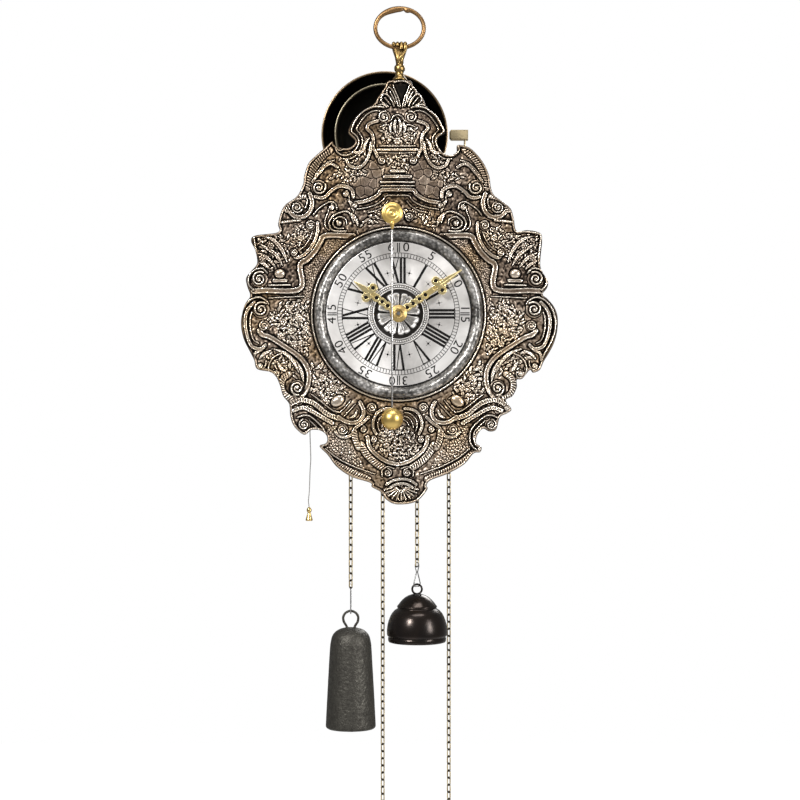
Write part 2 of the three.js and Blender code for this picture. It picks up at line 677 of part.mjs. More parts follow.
const standHalf = 7;
const standLow = 66;
const standHigh = bellZ + 9;
const standThick = 3;
const standFrontY = movementRearY + gap;
const nutRearY = innerBell.mouthY + innerBell.depth - bellWall - 3 * gap;
const nutThick = 4;
const studTipY = nutRearY - nutThick - 1;
const standShape = shapeOf([
  [bellX - standHalf, standLow], [bellX + standHalf, standLow], [bellX + standHalf * 0.8, bellZ],
  [bellX + standHalf * 0.4, standHigh], [bellX - standHalf * 0.4, standHigh], [bellX - standHalf * 0.8, bellZ],
]);
part('bell_stand', joined(
  slab(standShape, standFrontY + standThick, standThick),
  turnedY([
    [0, studTipY], [bellStudRadius, studTipY], [bellStudRadius, studShoulderY], [5, studShoulderY],
    [5, standFrontY + standThick / 2], [0, standFrontY + standThick / 2],
  ], bellX, bellZ, smallSides),
), 'iron');
const nut = new THREE.Shape(roundPoints(6, 6, bellX, bellZ));
nut.holes.push(new THREE.Path(roundPoints(bellHole, smallSides, bellX, bellZ)));
part('bell_nut', slab(nut, nutRearY, nutThick), 'brass');

// Minute arbor: pinion, centre wheel, cannon pinion, hand and collet turn together
const arborFront = movementFrontInnerY + gap;
const arborRear = movementBackY - gap;
const pivotTip = 1.8;

function arborAlongY(at, radius, extras = [], front = arborFront) {
  const profile = [
    [0, front - pivotTip], [pivotRadius, front - pivotTip], [pivotRadius, front], [radius, front],
    [radius, arborRear], [pivotRadius, arborRear], [pivotRadius, arborRear + pivotTip], [0, arborRear + pivotTip],
  ];
  const shaft = turnedY(profile, ...at, shaftSides);
  return extras.length ? joined(shaft, ...extras) : shaft;
}

const hourHandY = -6.2;
const minuteHandY = -9.6;
const handThick = 1.1;
const colletThick = 2.6;
const centreTipY = minuteHandY - handThick - colletThick;
const centrePinion = spurWheel({
  teeth: centrePinionTeeth, pitchRadius: centrePinionRadius, phase: gapTowards(centreAt, goingAt, centrePinionTeeth),
  frontY: greatWheelY - 1, thickness: 4, at: centreAt,
});
part('centre_arbor', joined(
  turnedY([
    [0, centreTipY], [arborRadius, centreTipY], [arborRadius, arborRear], [pivotRadius, arborRear],
    [pivotRadius, arborRear + pivotTip], [0, arborRear + pivotTip],
  ], ...centreAt, shaftSides),
  centrePinion,
), 'steel');
part('centre_wheel', spurWheel({
  teeth: centreTeeth, pitchRadius: centreWheelRadius, phase: heading(centreAt, contrateAt),
  hole: arborRadius + gap, frontY: centreWheelY, thickness: 1.8, at: centreAt,
  spokes: 5, hub: 6, rim: 23, spoke: 3,
}), 'brass');

const cannonInner = arborRadius + gap;
const cannonOuter = 2.6;
const cannonNeck = 2.2;
const cannonFrontY = 13;
const cannonThick = 3.5;
const cannonRadius = motionReach * cannonTeeth / (cannonTeeth + minuteTeeth);
const minuteRadius = motionReach - cannonRadius;
const minutePinionRadius = motionReach * minutePinionTeeth / (minutePinionTeeth + hourTeeth);
const hourRadius = motionReach - minutePinionRadius;
part('cannon_pinion', joined(
  spurWheel({
    teeth: cannonTeeth, pitchRadius: cannonRadius, phase: heading(centreAt, minuteWheelAt),
    hole: cannonInner, frontY: cannonFrontY, thickness: cannonThick, at: centreAt,
  }),
  turnedY([
    [cannonInner, minuteHandY - handThick], [cannonNeck, minuteHandY - handThick], [cannonNeck, minuteHandY + gap],
    [cannonOuter, minuteHandY + gap], [cannonOuter, movementFrontY - gap], [cannonInner, movementFrontY - gap],
    [cannonInner, minuteHandY - handThick],
  ], 0, 0, smallSides),
), 'brass');

// Hands, drawn pointing up and then turned to their time
const minuteHandLength = 66.6;
const hourHandLength = 47.8;
const minuteHandAngle = THREE.MathUtils.degToRad(55.3);
const hourHandAngle = THREE.MathUtils.degToRad(306);
// Half outline shares: half width in millimetres follows the boss, height share of the length
const handHub = 7;
const handShares = [
  [0.5, 0.1], [0.3, 0.17], [0.42, 0.28], [0.42, 0.36], [0.22, 0.44], [0.5, 0.5], [0.24, 0.56],
  [0.78, 0.6], [0.86, 0.655], [0.62, 0.7], [0.2, 0.7], [0.2, 0.8], [0, 1],
];
const pierceShares = [0.22, 0.32, 0.5];

function handGeometry(length, hole, rearY, angle) {
  const right = handShares.map(([x, z]) => new THREE.Vector2(x * handHub, z * length));
  const left = right.slice(0, -1).reverse().map((p) => new THREE.Vector2(-p.x, p.y));
  const hubPoints = roundPoints(handHub, middleSides, 0, 0)
    .filter((p) => p.y < handHub * 0.8).map((p) => p);
  const start = hubPoints.findIndex((p) => p.x < 0 && p.y > 0);
  const around = [...hubPoints.slice(start), ...hubPoints.slice(0, start)];
  const shape = new THREE.Shape([...right, ...left, ...around]);
  shape.holes.push(new THREE.Path(roundPoints(hole, smallSides, 0, 0)));
  for (const share of pierceShares) {
    shape.holes.push(new THREE.Path(roundPoints(handHub * 0.16, 6, 0, share * length)));
  }
  for (const side of [-1, 1]) {
    shape.holes.push(new THREE.Path(roundPoints(handHub * 0.24, 6, side * handHub * 0.55, 0.645 * length)));
  }
  const geometry = slab(shape, rearY, handThick);
  geometry.rotateY(angle);
  return geometry;
}
part('minute_hand', handGeometry(minuteHandLength, cannonNeck + gap, minuteHandY, minuteHandAngle), 'paleBrass');
part('hand_collet', turnedY([
  [arborRadius + gap, minuteHandY - handThick - gap], [7.5, minuteHandY - handThick - gap],
  [5.2, minuteHandY - handThick - colletThick + gap],
  [arborRadius + gap, minuteHandY - handThick - colletThick], [arborRadius + gap, minuteHandY - handThick - gap],
], 0, 0, middleSides), 'brass');

// Hour work: wheel and pipe carry the hour hand
const hourPipeInner = cannonOuter + gap;
const hourWheelY = 8;
const hourWheelThick = 1.8;
part('hour_wheel', joined(
  spurWheel({
    teeth: hourTeeth, pitchRadius: hourRadius, phase: heading(centreAt, minuteWheelAt),
    hole: hourPipeInner, frontY: hourWheelY, thickness: hourWheelThick, at: centreAt,
  }),
  turnedY([
    [hourPipeInner, hourHandY - handThick], [hourPipeOuter, hourHandY - handThick],
    [hourPipeOuter, hourWheelY + hourWheelThick / 2], [hourPipeInner, hourWheelY + hourWheelThick / 2],
    [hourPipeInner, hourHandY - handThick],
  ], 0, 0, smallSides),
), 'brass');
part('hour_hand', handGeometry(hourHandLength, hourPipeOuter + gap, hourHandY, hourHandAngle), 'paleBrass');

// Minute wheel with its pinion, on a stud
const minuteWheelY = cannonFrontY + 0.6;
const minuteWheelThick = 1.8;
part('minute_wheel', joined(
  spurWheel({
    teeth: minuteTeeth, pitchRadius: minuteRadius, phase: gapTowards(minuteWheelAt, centreAt, minuteTeeth),
    hole: studRadius + gap, frontY: minuteWheelY, thickness: minuteWheelThick, at: minuteWheelAt,
  }),
  spurWheel({
    teeth: minutePinionTeeth, pitchRadius: minutePinionRadius,
    phase: gapTowards(minuteWheelAt, centreAt, minutePinionTeeth),
    hole: studRadius + gap, frontY: hourWheelY - 0.6, thickness: minuteWheelY - hourWheelY + 1, at: minuteWheelAt,
  }),
), 'brass');

// Great wheels and their arbors
const greatArborRadius = 2.2;
const greatThick = 2;
const greatSpokes = { spokes: 4, hub: 8, rim: 23, spoke: 4 };
part('going_arbor', arborAlongY(goingAt, greatArborRadius), 'steel');
part('going_great_wheel', spurWheel({
  teeth: greatTeeth, pitchRadius: greatRadius, phase: heading(goingAt, centreAt),
  hole: greatArborRadius + gap, frontY: greatWheelY, thickness: greatThick, at: goingAt, ...greatSpokes,
}), 'brass');
part('striking_arbor', arborAlongY(strikingAt, greatArborRadius), 'steel');
// Pins on the striking great wheel lift the hammer's tail
const liftPins = 8;
const liftPinRadius = 1;
const liftPinCircle = 25;
const liftPinReach = 2.8;
const strikingPins = Array.from({ length: liftPins }, (_, i) => {
  const angle = fullTurn * (i + 0.5) / liftPins;
  return rodY(liftPinRadius, greatWheelY - liftPinReach, greatWheelY + greatThick / 2,
    strikingAt[0] + liftPinCircle * Math.cos(angle), strikingAt[1] + liftPinCircle * Math.sin(angle), 4);
});
part('striking_great_wheel', joined(spurWheel({
  teeth: greatTeeth, pitchRadius: greatRadius, phase: heading(strikingAt, lockingAt),
  hole: greatArborRadius + gap, frontY: greatWheelY, thickness: greatThick, at: strikingAt, ...greatSpokes,
}), ...strikingPins), 'brass');

// Chain: link pitch, wire and width, and the pitch circle that seven spikes and fourteen links give
const linkPitch = 6.35;
const linkWire = 1.2;
const linkHalfWidth = 2.3;
const spikes = 7;
const chainRadius = linkPitch / 2 / Math.sin(halfTurn / (2 * spikes));
const grooveHalf = linkHalfWidth + 0.5;
const grooveRadius = chainRadius - linkHalfWidth - 0.8;
const cheekRadius = chainRadius + 1.2;
const cheekThick = 0.8;
const sleeveRadius = greatArborRadius + gap;
const sleeveFront = greatWheelY + greatThick + 2;
const sleeveRear = chainY + 7;

function sprocketGeometry(at) {
  const body = turnedY([
    [sleeveRadius, sleeveFront], [5, sleeveFront], [5, chainY - grooveHalf - cheekThick],
    [cheekRadius, chainY - grooveHalf - cheekThick], [cheekRadius, chainY - grooveHalf],
    [grooveRadius, chainY - grooveHalf], [grooveRadius, chainY + grooveHalf], [cheekRadius, chainY + grooveHalf],
    [cheekRadius, chainY + grooveHalf + cheekThick], [5, chainY + grooveHalf + cheekThick], [5, sleeveRear],
    [sleeveRadius, sleeveRear], [sleeveRadius, sleeveFront],
  ], ...at, 2 * spikes);
  const spikeHalf = 0.5;
  const spikeTip = chainRadius + linkWire;
  const pins = Array.from({ length: spikes }, (_, i) => {
    const spike = slab(shapeOf([
      [grooveRadius - linkWire, -0.9], [spikeTip, -0.6], [spikeTip, 0.6], [grooveRadius - linkWire, 0.9],
    ]), chainY + spikeHalf, 2 * spikeHalf);
    spike.rotateY(-(halfTurn - halfTurn * (2 * i + 0.5) / spikes));
    spike.translate(at[0], 0, at[1]);
    return spike;
  });
  return joined(body, ...pins);
}
part('going_sprocket', sprocketGeometry(goingAt), 'brass');
part('striking_sprocket', sprocketGeometry(strikingAt), 'brass');

// Click rings: flat springs on the sprockets whose raised tongue catches the wheel's spokes
const clickThick = 0.8;
const clickRearY = sleeveFront - gap;

function clickGeometry(at) {
  const ring = new THREE.Shape(roundPoints(11, middleSides, ...at));
  ring.holes.push(new THREE.Path(roundPoints(sleeveRadius + 1, smallSides, ...at)));
  const tongueFront = greatWheelY + greatThick + gap;
  const tongue = slab(shapeOf([
    [at[0] + 8, at[1] - 1.5], [at[0] + 10.5, at[1] - 1.5], [at[0] + 10.5, at[1] + 1.5], [at[0] + 8, at[1] + 1.5],
  ]), clickRearY - clickThick / 2, clickRearY - clickThick / 2 - tongueFront);
  return joined(slab(ring, clickRearY, clickThick), tongue);
}
part('going_click', clickGeometry(goingAt), 'steel');
part('striking_click', clickGeometry(strikingAt), 'steel');

// Contrate wheel, its arbor and pinion
const contrateDiscY = 51.5;
const contrateDiscThick = 1.5;
const contrateModule = 2 * contrateRadius / contrateTeeth;
const contratePitchY = chainY + crownPinionRadius;
const contrateRim = 1.25;
const contrateArborRadius = 1.4;
const contrateHole = contrateArborRadius + gap;
const contrateRing = facedRing({
  teeth: contrateTeeth, outer: contrateRadius + contrateRim, inner: contrateRadius - contrateRim,
  base: -(contrateDiscY + contrateDiscThick), root: -(contratePitchY + toothFallShare * contrateModule),
  tip: -(contratePitchY - toothRiseShare * contrateModule), phase: halfTurn / 2 + halfTurn / contrateTeeth,
});
contrateRing.rotateX(halfTurn / 2);
contrateRing.translate(contrateAt[0], 0, contrateAt[1]);
const contrateDisc = new THREE.Shape(roundPoints(contrateRadius, largeSides / 2, 0, 0));
contrateDisc.holes.push(new THREE.Path(roundPoints(contrateHole, smallSides, 0, 0)));
addWindows(contrateDisc, 4, 5, contrateRadius - 2 * contrateRim, 3);
const contratePlate = slab(contrateDisc, contrateDiscY + contrateDiscThick, contrateDiscThick);
contratePlate.translate(contrateAt[0], 0, contrateAt[1]);
part('contrate_wheel', joined(contrateRing, contratePlate), 'brass');
part('contrate_arbor', arborAlongY(contrateAt, contrateArborRadius, [spurWheel({
  teeth: pinionTeeth, pitchRadius: contratePinionRadius, phase: gapTowards(contrateAt, centreAt, pinionTeeth),
  frontY: centreWheelY - 2.5, thickness: 6.5, at: contrateAt,
})]), 'steel');

// Crown wheel on its upright arbor, held by a cranked potence
const crownArborRadius = 1;
const crownHole = crownArborRadius + gap;
const vergeRadius = arborRadius;
const palletReach = 5.4;
const pendulumSwing = THREE.MathUtils.degToRad(18);
const palletSpread = THREE.MathUtils.degToRad(47.5);
const palletLow = palletReach * Math.cos(palletSpread - pendulumSwing);
const crownTip = vergeAt[1] - palletLow - gap;
const crownToothHeight = 2.3;
const crownBase = 70.5;
const crownWall = 1.4;
const crownDiscThick = 1.4;
const crownRing = facedRing({
  teeth: crownTeeth, outer: crownRadius, inner: crownRadius - crownWall, base: crownBase,
  root: crownTip - crownToothHeight, tip: crownTip, lean: 0.7,
});
crownRing.translate(pendulumX, chainY, 0);
const crownDisc = new THREE.Shape(roundPoints(crownRadius - crownWall / 2, 24, 0, 0));
crownDisc.holes.push(new THREE.Path(roundPoints(crownHole, smallSides, 0, 0)));
addWindows(crownDisc, 3, 3.5, crownRadius - 2 * crownWall, 2);
const crownFloor = new THREE.ExtrudeGeometry(crownDisc, { depth: crownDiscThick, bevelEnabled: false });
crownFloor.translate(pendulumX, chainY, crownBase);
part('crown_wheel', joined(crownRing, crownFloor), 'brass');

const potenceLow = 37.5;
const potenceHigh = 60;
const potenceArm = 3.5;
const crownArborLow = potenceLow + 1;
const crownArborHigh = crownBase + crownDiscThick + 1;
const crownPinionLow = 46.5;
const crownPinionHigh = 53;
const crownPinion = new THREE.ExtrudeGeometry(
  new THREE.Shape(toothedPoints(pinionTeeth, crownPinionRadius, halfTurn / 2)),
  { depth: crownPinionHigh - crownPinionLow, bevelEnabled: false });
crownPinion.translate(pendulumX, chainY, crownPinionLow);
part('crown_arbor', joined(
  rodZ(crownArborRadius, crownArborLow, crownArborHigh, pendulumX, chainY), crownPinion), 'steel');

const potenceHalf = 4;
const potenceFlange = 2.5;
const potenceTip = chainY + 4;
const potenceFrontY = movementFrontInnerY + gap;
const potenceFoot = 3;
const potenceSide = new THREE.Shape([
  [potenceFrontY, potenceLow - potenceFoot], [potenceFrontY + potenceFlange, potenceLow - potenceFoot],
  [potenceFrontY + potenceFlange, potenceLow], [potenceTip, potenceLow], [potenceTip, potenceLow + potenceArm],
  [potenceFrontY + 2 * potenceFlange, potenceLow + potenceArm], [potenceFrontY + potenceFlange, potenceLow + 2 * potenceArm],
  [potenceFrontY + potenceFlange, potenceHigh - potenceArm], [potenceFrontY + 2 * potenceFlange, potenceHigh],
  [potenceTip, potenceHigh], [potenceTip, potenceHigh + potenceArm], [potenceFrontY, potenceHigh + potenceArm],
].map(([y, z]) => new THREE.Vector2(y, z)));
const potence = new THREE.ExtrudeGeometry(potenceSide, { depth: 2 * potenceHalf, bevelEnabled: false });
potence.rotateX(halfTurn / 2);
potence.rotateZ(halfTurn / 2);
potence.translate(pendulumX - potenceHalf, 0, 0);
part('potence', cut(potence, rodZ(crownHole, potenceLow - potenceFoot, potenceHigh + 2 * potenceArm, pendulumX, chainY)), 'brass');

// Verge with two pallets, and the pendulum that hangs on its front end
const discRadius = 9.35;
const discThick = 5;
const rodY0 = -20;
const discFront = rodY0 - discThick / 2;
const discRear = rodY0 + discThick / 2;
const vergeTip = rodY0 - discThick / 4;
const palletWidth = 4;
const palletThick = 0.8;
const palletOffset = crownRadius - crownWall / 2;

function pallet(y, angle) {
  const flag = slab(shapeOf([
    [-palletThick / 2, 0], [palletThick / 2, 0], [palletThick / 2, -palletReach], [-palletThick / 2, -palletReach],
  ]), y + palletWidth / 2, palletWidth);
  flag.rotateY(angle);
  flag.translate(vergeAt[0], 0, vergeAt[1]);
  return flag;
}
part('verge', joined(
  turnedY([
    [0, vergeTip], [vergeRadius, vergeTip], [vergeRadius, arborRear], [pivotRadius, arborRear],
    [pivotRadius, arborRear + pivotTip], [0, arborRear + pivotTip],
  ], ...vergeAt, smallSides),
  pallet(chainY - palletOffset, palletSpread), pallet(chainY + palletOffset, -palletSpread),
), 'steel');

const neckRadius = 1.8;
const neckLow = 72.2;
const discHole = vergeRadius + gap;
part('pendulum_disc', joined(
  turnedY([
    [0, discFront], [discRadius * 0.55, discFront - 0.4], [discRadius * 0.9, discFront + 0.8], [discRadius, rodY0],
    [discHole, discRear], [discHole, vergeTip - gap], [0, vergeTip - gap],
  ], ...vergeAt, 20),
  turnedZ([[0, neckLow], [neckRadius * 0.8, neckLow], [neckRadius, neckLow + 2],
    [neckRadius, vergeAt[1] - discRadius * 0.8], [0, vergeAt[1] - discRadius * 0.8]], vergeAt[0], rodY0, shaftSides),
), 'brass');
const wireRadius = 0.75;
const bobZ = -91;
const bobRadius = 9.6;
const rodLow = bobZ - bobRadius - 1.4;
part('pendulum_rod', rodZ(wireRadius, rodLow, neckLow - gap, pendulumX, rodY0), 'steel');
const bobHole = wireRadius + gap;
const bobProfile = [];
const bobSteps = 8;
const bobStart = Math.asin(bobHole / bobRadius);
for (let i = 0; i <= bobSteps; i++) {
  const angle = THREE.MathUtils.lerp(bobStart, halfTurn - bobStart, i / bobSteps);
  bobProfile.push([bobRadius * Math.sin(angle), bobZ + bobRadius * Math.cos(angle)]);
}
part('pendulum_bob', turnedZ([...bobProfile, bobProfile[0]], pendulumX, rodY0, 16), 'brass');

// Striking train above its great wheel
const strikeArborRadius = 1.8;
const lockingY = 39;
part('locking_wheel', arborAlongY(lockingAt, strikeArborRadius, [
  spurWheel({
    teeth: strikePinionTeeth, pitchRadius: strikePinionRadius, phase: gapTowards(lockingAt, strikingAt, strikePinionTeeth),
    frontY: greatWheelY - 1.2, thickness: 4.4, at: lockingAt,
  }),
  spurWheel({
    teeth: lockingTeeth, pitchRadius: lockingRadius, phase: heading(lockingAt, warningAt),
    frontY: lockingY, thickness: 1.6, at: lockingAt, spokes: 4, hub: 5, rim: 19, spoke: 3,
  }),
]), 'brass');
const warningY = 54;
part('warning_wheel', arborAlongY(warningAt, contrateArborRadius, [
  spurWheel({
    teeth: pinionTeeth, pitchRadius: warningPinionRadius, phase: gapTowards(warningAt, lockingAt, pinionTeeth),
    frontY: lockingY - 1.2, thickness: 4, at: warningAt,
  }),
  spurWheel({
    teeth: warningTeeth, pitchRadius: warningRadius, phase: heading(warningAt, flyAt),
    frontY: warningY, thickness: 1.5, at: warningAt, spokes: 3, hub: 4, rim: 11.5, spoke: 2.4,
  }),
]), 'brass');
const vaneHalf = 12.5;
const vaneThick = 0.7;
const vaneFront = 42;
const vaneRear = 51.5;
part('fly', arborAlongY(flyAt, contrateArborRadius, [
  spurWheel({
    teeth: pinionTeeth, pitchRadius: flyPinionRadius, phase: gapTowards(flyAt, warningAt, pinionTeeth),
    frontY: warningY - 1.2, thickness: 4, at: flyAt,
  }),
  slab(shapeOf([
    [flyAt[0] - vaneHalf, flyAt[1] - vaneThick / 2], [flyAt[0] + vaneHalf, flyAt[1] - vaneThick / 2],
    [flyAt[0] + vaneHalf, flyAt[1] + vaneThick / 2], [flyAt[0] - vaneHalf, flyAt[1] + vaneThick / 2],
  ]), vaneRear, vaneRear - vaneFront),
]), 'steel');

// Hammers: an arbor between the plates, a stem, a tail and a head that rests just off its bell
const hammerArborRadius = 1.5;
const stemRadius = 0.9;
const tailThick = 2;
const tailHalf = 1.4;
const hammerGap = 1.2;

function tailTowards(at, target, length, frontY) {
  const tail = slab(shapeOf([[0, -tailHalf], [length, -tailHalf * 0.7], [length, tailHalf * 0.7], [0, tailHalf]]),
    frontY + tailThick, tailThick);
  tail.rotateY(-heading(at, target));
  tail.translate(at[0], 0, at[1]);
  return tail;
}
const headWidth = 16.5;
const headHeight = 8.9;
const headY = 36;
const headAt = [bellX + outerBell.radius + hammerGap + headWidth / 2, bellZ - gap];
const headCorner = headHeight / 2;
const headShape = shapeOf([
  [headAt[0] - headWidth / 2, headAt[1] - headCorner * 0.6], [headAt[0] - headWidth / 2 + 1.4, headAt[1] - headCorner],
  [headAt[0] + headWidth / 2, headAt[1] - headCorner], [headAt[0] + headWidth / 2, headAt[1] + headCorner],
  [headAt[0] - headWidth / 2 + 1.4, headAt[1] + headCorner], [headAt[0] - headWidth / 2, headAt[1] + headCorner * 0.6],
]);
const stemTopX = headAt[0] + headWidth / 3;
part('strike_hammer', arborAlongY(strikeHammerAt, hammerArborRadius, [
  wireAlong([
    [strikeHammerAt[0], headY, strikeHammerAt[1]], [strikeHammerAt[0] + 3, headY, bellZ / 2],
    [stemTopX, headY, headAt[1]],
  ], stemRadius, 3, 5),
  slab(headShape, headY + headHeight / 2, headHeight, 0.8),
  tailTowards(strikeHammerAt, strikingAt,
    between(strikeHammerAt, strikingAt) - liftPinCircle - liftPinRadius - gap, greatWheelY - liftPinReach),
]), 'brass');
const quarterY = 27.6;
const quarterHead = 6;
const quarterDirection = -halfTurn * 3 / 4;
const quarterReach = innerBell.radius + hammerGap + quarterHead;
const quarterAt = [bellX + quarterReach * Math.cos(quarterDirection), bellZ + quarterReach * Math.sin(quarterDirection)];
part('quarter_hammer', arborAlongY(quarterHammerAt, hammerArborRadius, [
  wireAlong([
    [quarterHammerAt[0], quarterY, quarterHammerAt[1]], [quarterHammerAt[0] + 2, quarterY, bellZ / 2],
    [quarterAt[0], quarterY, quarterAt[1]],
  ], stemRadius, 3, 5),
  turnedY([[0, quarterY - 3], [quarterHead * 0.8, quarterY - 3], [quarterHead, quarterY], [quarterHead * 0.8, quarterY + 3],
    [0, quarterY + 3]], ...quarterAt, 10),
  tailTowards(quarterHammerAt, goingAt, 10, quarterY - 1),
]), 'brass');

// Repeat lever, with the pull cord and its toggle at the left
const cordX = -78;
const leverThick = 2;
const leverFrontY = movementFrontInnerY + 2.2;
const leverMiddleY = leverFrontY + leverThick / 2;
const leverEnd = 2.5;
const leverHub = 4;
const leverArm = 14;
const leverShape = shapeOf([
  [cordX, leverAt[1] - leverEnd], [leverAt[0] - leverHub, leverAt[1] - leverEnd],
  [leverAt[0], leverAt[1] - leverHub], [leverAt[0] + leverHub, leverAt[1] - leverEnd],
  [leverAt[0] + leverArm, leverAt[1] + leverEnd], [leverAt[0] + leverArm - 1, leverAt[1] + 2 * leverEnd],
  [leverAt[0] + leverHub, leverAt[1] + leverEnd], [leverAt[0], leverAt[1] + leverHub],
  [leverAt[0] - leverHub, leverAt[1] + leverEnd], [cordX, leverAt[1] + leverEnd],
  [cordX - leverEnd * 0.7, leverAt[1] + leverEnd * 0.7], [cordX - leverEnd, leverAt[1]],
  [cordX - leverEnd * 0.7, leverAt[1] - leverEnd * 0.7],
]);
leverShape.holes.push(new THREE.Path(roundPoints(studRadius + gap, smallSides, ...leverAt)));
part('repeat_lever', slab(leverShape, leverFrontY + leverThick, leverThick), 'steel');

const cordRadius = 0.4;
const cordTop = leverAt[1] - leverEnd - gap;
const toggleX = -78.9;
const toggleTop = -169.2;
const toggleRadius = 3.1;
const toggleHeight = 12.2;
// The cord's route in X and Z, with the slight bends that it keeps
const cordRoute = [
  [cordX, cordTop], [cordX, -60], [-78.1, -85], [-78.15, -104.8], [-77.6, -121], [-77.5, -128], [-78.1, -137],
  [-78.5, -150], [-79, -158], [-79.5, -163], [-79.3, -166.5], [toggleX, toggleTop + gap],
].map(([x, z]) => [x, leverMiddleY, z]);
part('repeat_cord', wireAlong(cordRoute, cordRadius, 40, smallSides), 'thread');
// Toggle shares: radius, drop below its top
const toggleShares = [
  [0, 1], [0.92, 1], [1, 0.93], [0.86, 0.6], [0.62, 0.42], [0.5, 0.36], [0.66, 0.28], [0.7, 0.16], [0.36, 0.02], [0, 0],
];
part('repeat_toggle', turnedZ(
  toggleShares.map(([r, drop]) => [toggleRadius * r, toggleTop - toggleHeight * drop]),
  toggleX, leverMiddleY, middleSides), 'brass');

// Chains: each is one run of links from the weight, over the sprocket and down to its ring.
// Neighbouring links stand square to each other and are held together where they meet.
const goingRun = 35;
const strikingRun = 32;
const goingFree = 67;
const strikingFree = 67;
const freeLean = 8.5;
const freeLeanRun = 8;

function chainPath(at, weightLinks, freeLinks, lean) {
  const places = [];
  for (let i = weightLinks; i > 0; i--) {
    places.push(new THREE.Vector3(at[0] - chainRadius, chainY, at[1] - i * linkPitch));
  }
  for (let i = 0; i <= spikes; i++) {
    const angle = halfTurn - halfTurn * i / spikes;
    places.push(new THREE.Vector3(at[0] + chainRadius * Math.cos(angle), chainY, at[1] + chainRadius * Math.sin(angle)));
  }
  for (let i = 1; i <= freeLinks; i++) {
    const shift = lean * Math.min(1, i / freeLeanRun);
    places.push(new THREE.Vector3(at[0] + chainRadius, chainY + shift, at[1] - i * linkPitch));
  }
  return places;
}

function chainGeometry(places, weightLinks) {
  const corners = [];
  const faces = [];
  const depth = new THREE.Vector3(0, 1, 0);
  const add = (point) => corners.push(point) - 1;
  const isFlat = (link) => Math.abs(link - weightLinks) % 2 === 0;
  const half = linkWire / 2;
  const knots = places.map((place, i) => {
    const before = places[Math.max(i - 1, 0)];
    const after = places[Math.min(i + 1, places.length - 1)];
    const along = after.clone().sub(before).normalize();
    const flat = depth.clone().addScaledVector(along, -depth.dot(along)).normalize();
    const side = flat.clone().cross(along).normalize();
    // The corners square to a link's plane are drawn towards that link
    const sideShift = isFlat(i) ? half : -half;
    const [sideSpot, flatSpot] = [sideShift, -sideShift].map((shift) => place.clone().addScaledVector(along, shift));
    return {
      side: [1, -1].map((sign) => add(sideSpot.clone().addScaledVector(side, sign * half))),
      flat: [1, -1].map((sign) => add(flatSpot.clone().addScaledVector(flat, sign * half))),
      axes: { side, flat },
    };
  });
  const band = (near, far) => {
    for (let k = 0; k < 3; k++) {
      const next = (k + 1) % 3;
      faces.push(near[k], near[next], far[next], near[k], far[next], far[k]);
    }
  };
  const cap = (outer, inner, flip) => {
    const faced = [[outer[0], inner[0], outer[1]], [outer[1], inner[1], outer[0]]];
    faced.forEach((face) => faces.push(...(flip ? face.reverse() : face)));
  };
  // In a flat link the legs lie fore and aft, in the others left and right
  const legs = (knot, link) => (isFlat(link)
    ? { outer: knot.flat, inner: [knot.side[1], knot.side[0]] }
    : { outer: knot.side, inner: knot.flat });
  for (let link = 0; link < places.length - 1; link++) {
    const [start, end] = [knots[link], knots[link + 1]].map((knot) => legs(knot, link));
    const middle = places[link].clone().lerp(places[link + 1], 1 / 2);
    const { side, flat } = knots[link].axes;
    const [out, across] = isFlat(link) ? [flat, side.clone().negate()] : [side, flat];
    [1, -1].forEach((sign, leg) => {
      const spot = (reach, off) => add(middle.clone()
        .addScaledVector(out, sign * reach).addScaledVector(across, off));
      const waist = [spot(linkHalfWidth, 0), spot(linkHalfWidth - linkWire, half * sign),
        spot(linkHalfWidth - linkWire, -half * sign)];
      const order = leg === 0 ? [0, 1] : [1, 0];
      const near = [start.outer[leg], ...order.map((k) => start.inner[k])];
      const far = [end.outer[leg], ...order.map((k) => end.inner[k])];
      band(near, waist);
      band(waist, far);
    });
  }
  const last = places.length - 1;
  const first = legs(knots[0], 0);
  const final = legs(knots[last], last - 1);
  cap(first.outer, first.inner, true);
  cap(final.outer, final.inner, false);
  const geometry = new THREE.BufferGeometry();
  geometry.setAttribute('position', new THREE.Float32BufferAttribute(corners.flatMap((p) => [p.x, p.y, p.z]), 3));
  geometry.setIndex(faces);
  return geometry;
}
part('going_chain', chainGeometry(chainPath(goingAt, goingRun, goingFree, 0), goingRun), 'brass');
part('striking_chain', chainGeometry(chainPath(strikingAt, strikingRun, strikingFree, freeLean), strikingRun), 'brass');

// Weights, with their eyes, and the hooks that join them to the chains
const goingX = goingAt[0] - chainRadius;
const goingEndZ = goingAt[1] - goingRun * linkPitch;
const strikingX = strikingAt[0] - chainRadius;
const strikingEndZ = strikingAt[1] - strikingRun * linkPitch;
const hookWire = 0.6;
const weightEye = 6.9;
const weightEyeWire = 1.1;
const hookDrop = 26;
const goingEyeZ = goingEndZ + linkPitch / 2 - hookDrop + hookWire + gap + weightEyeWire - weightEye;
const weightSeat = 0.6;
const weightTop = goingEyeZ - weightEye + weightSeat;
const weightHeight = 91.6;
const weightRadius = 22.35;
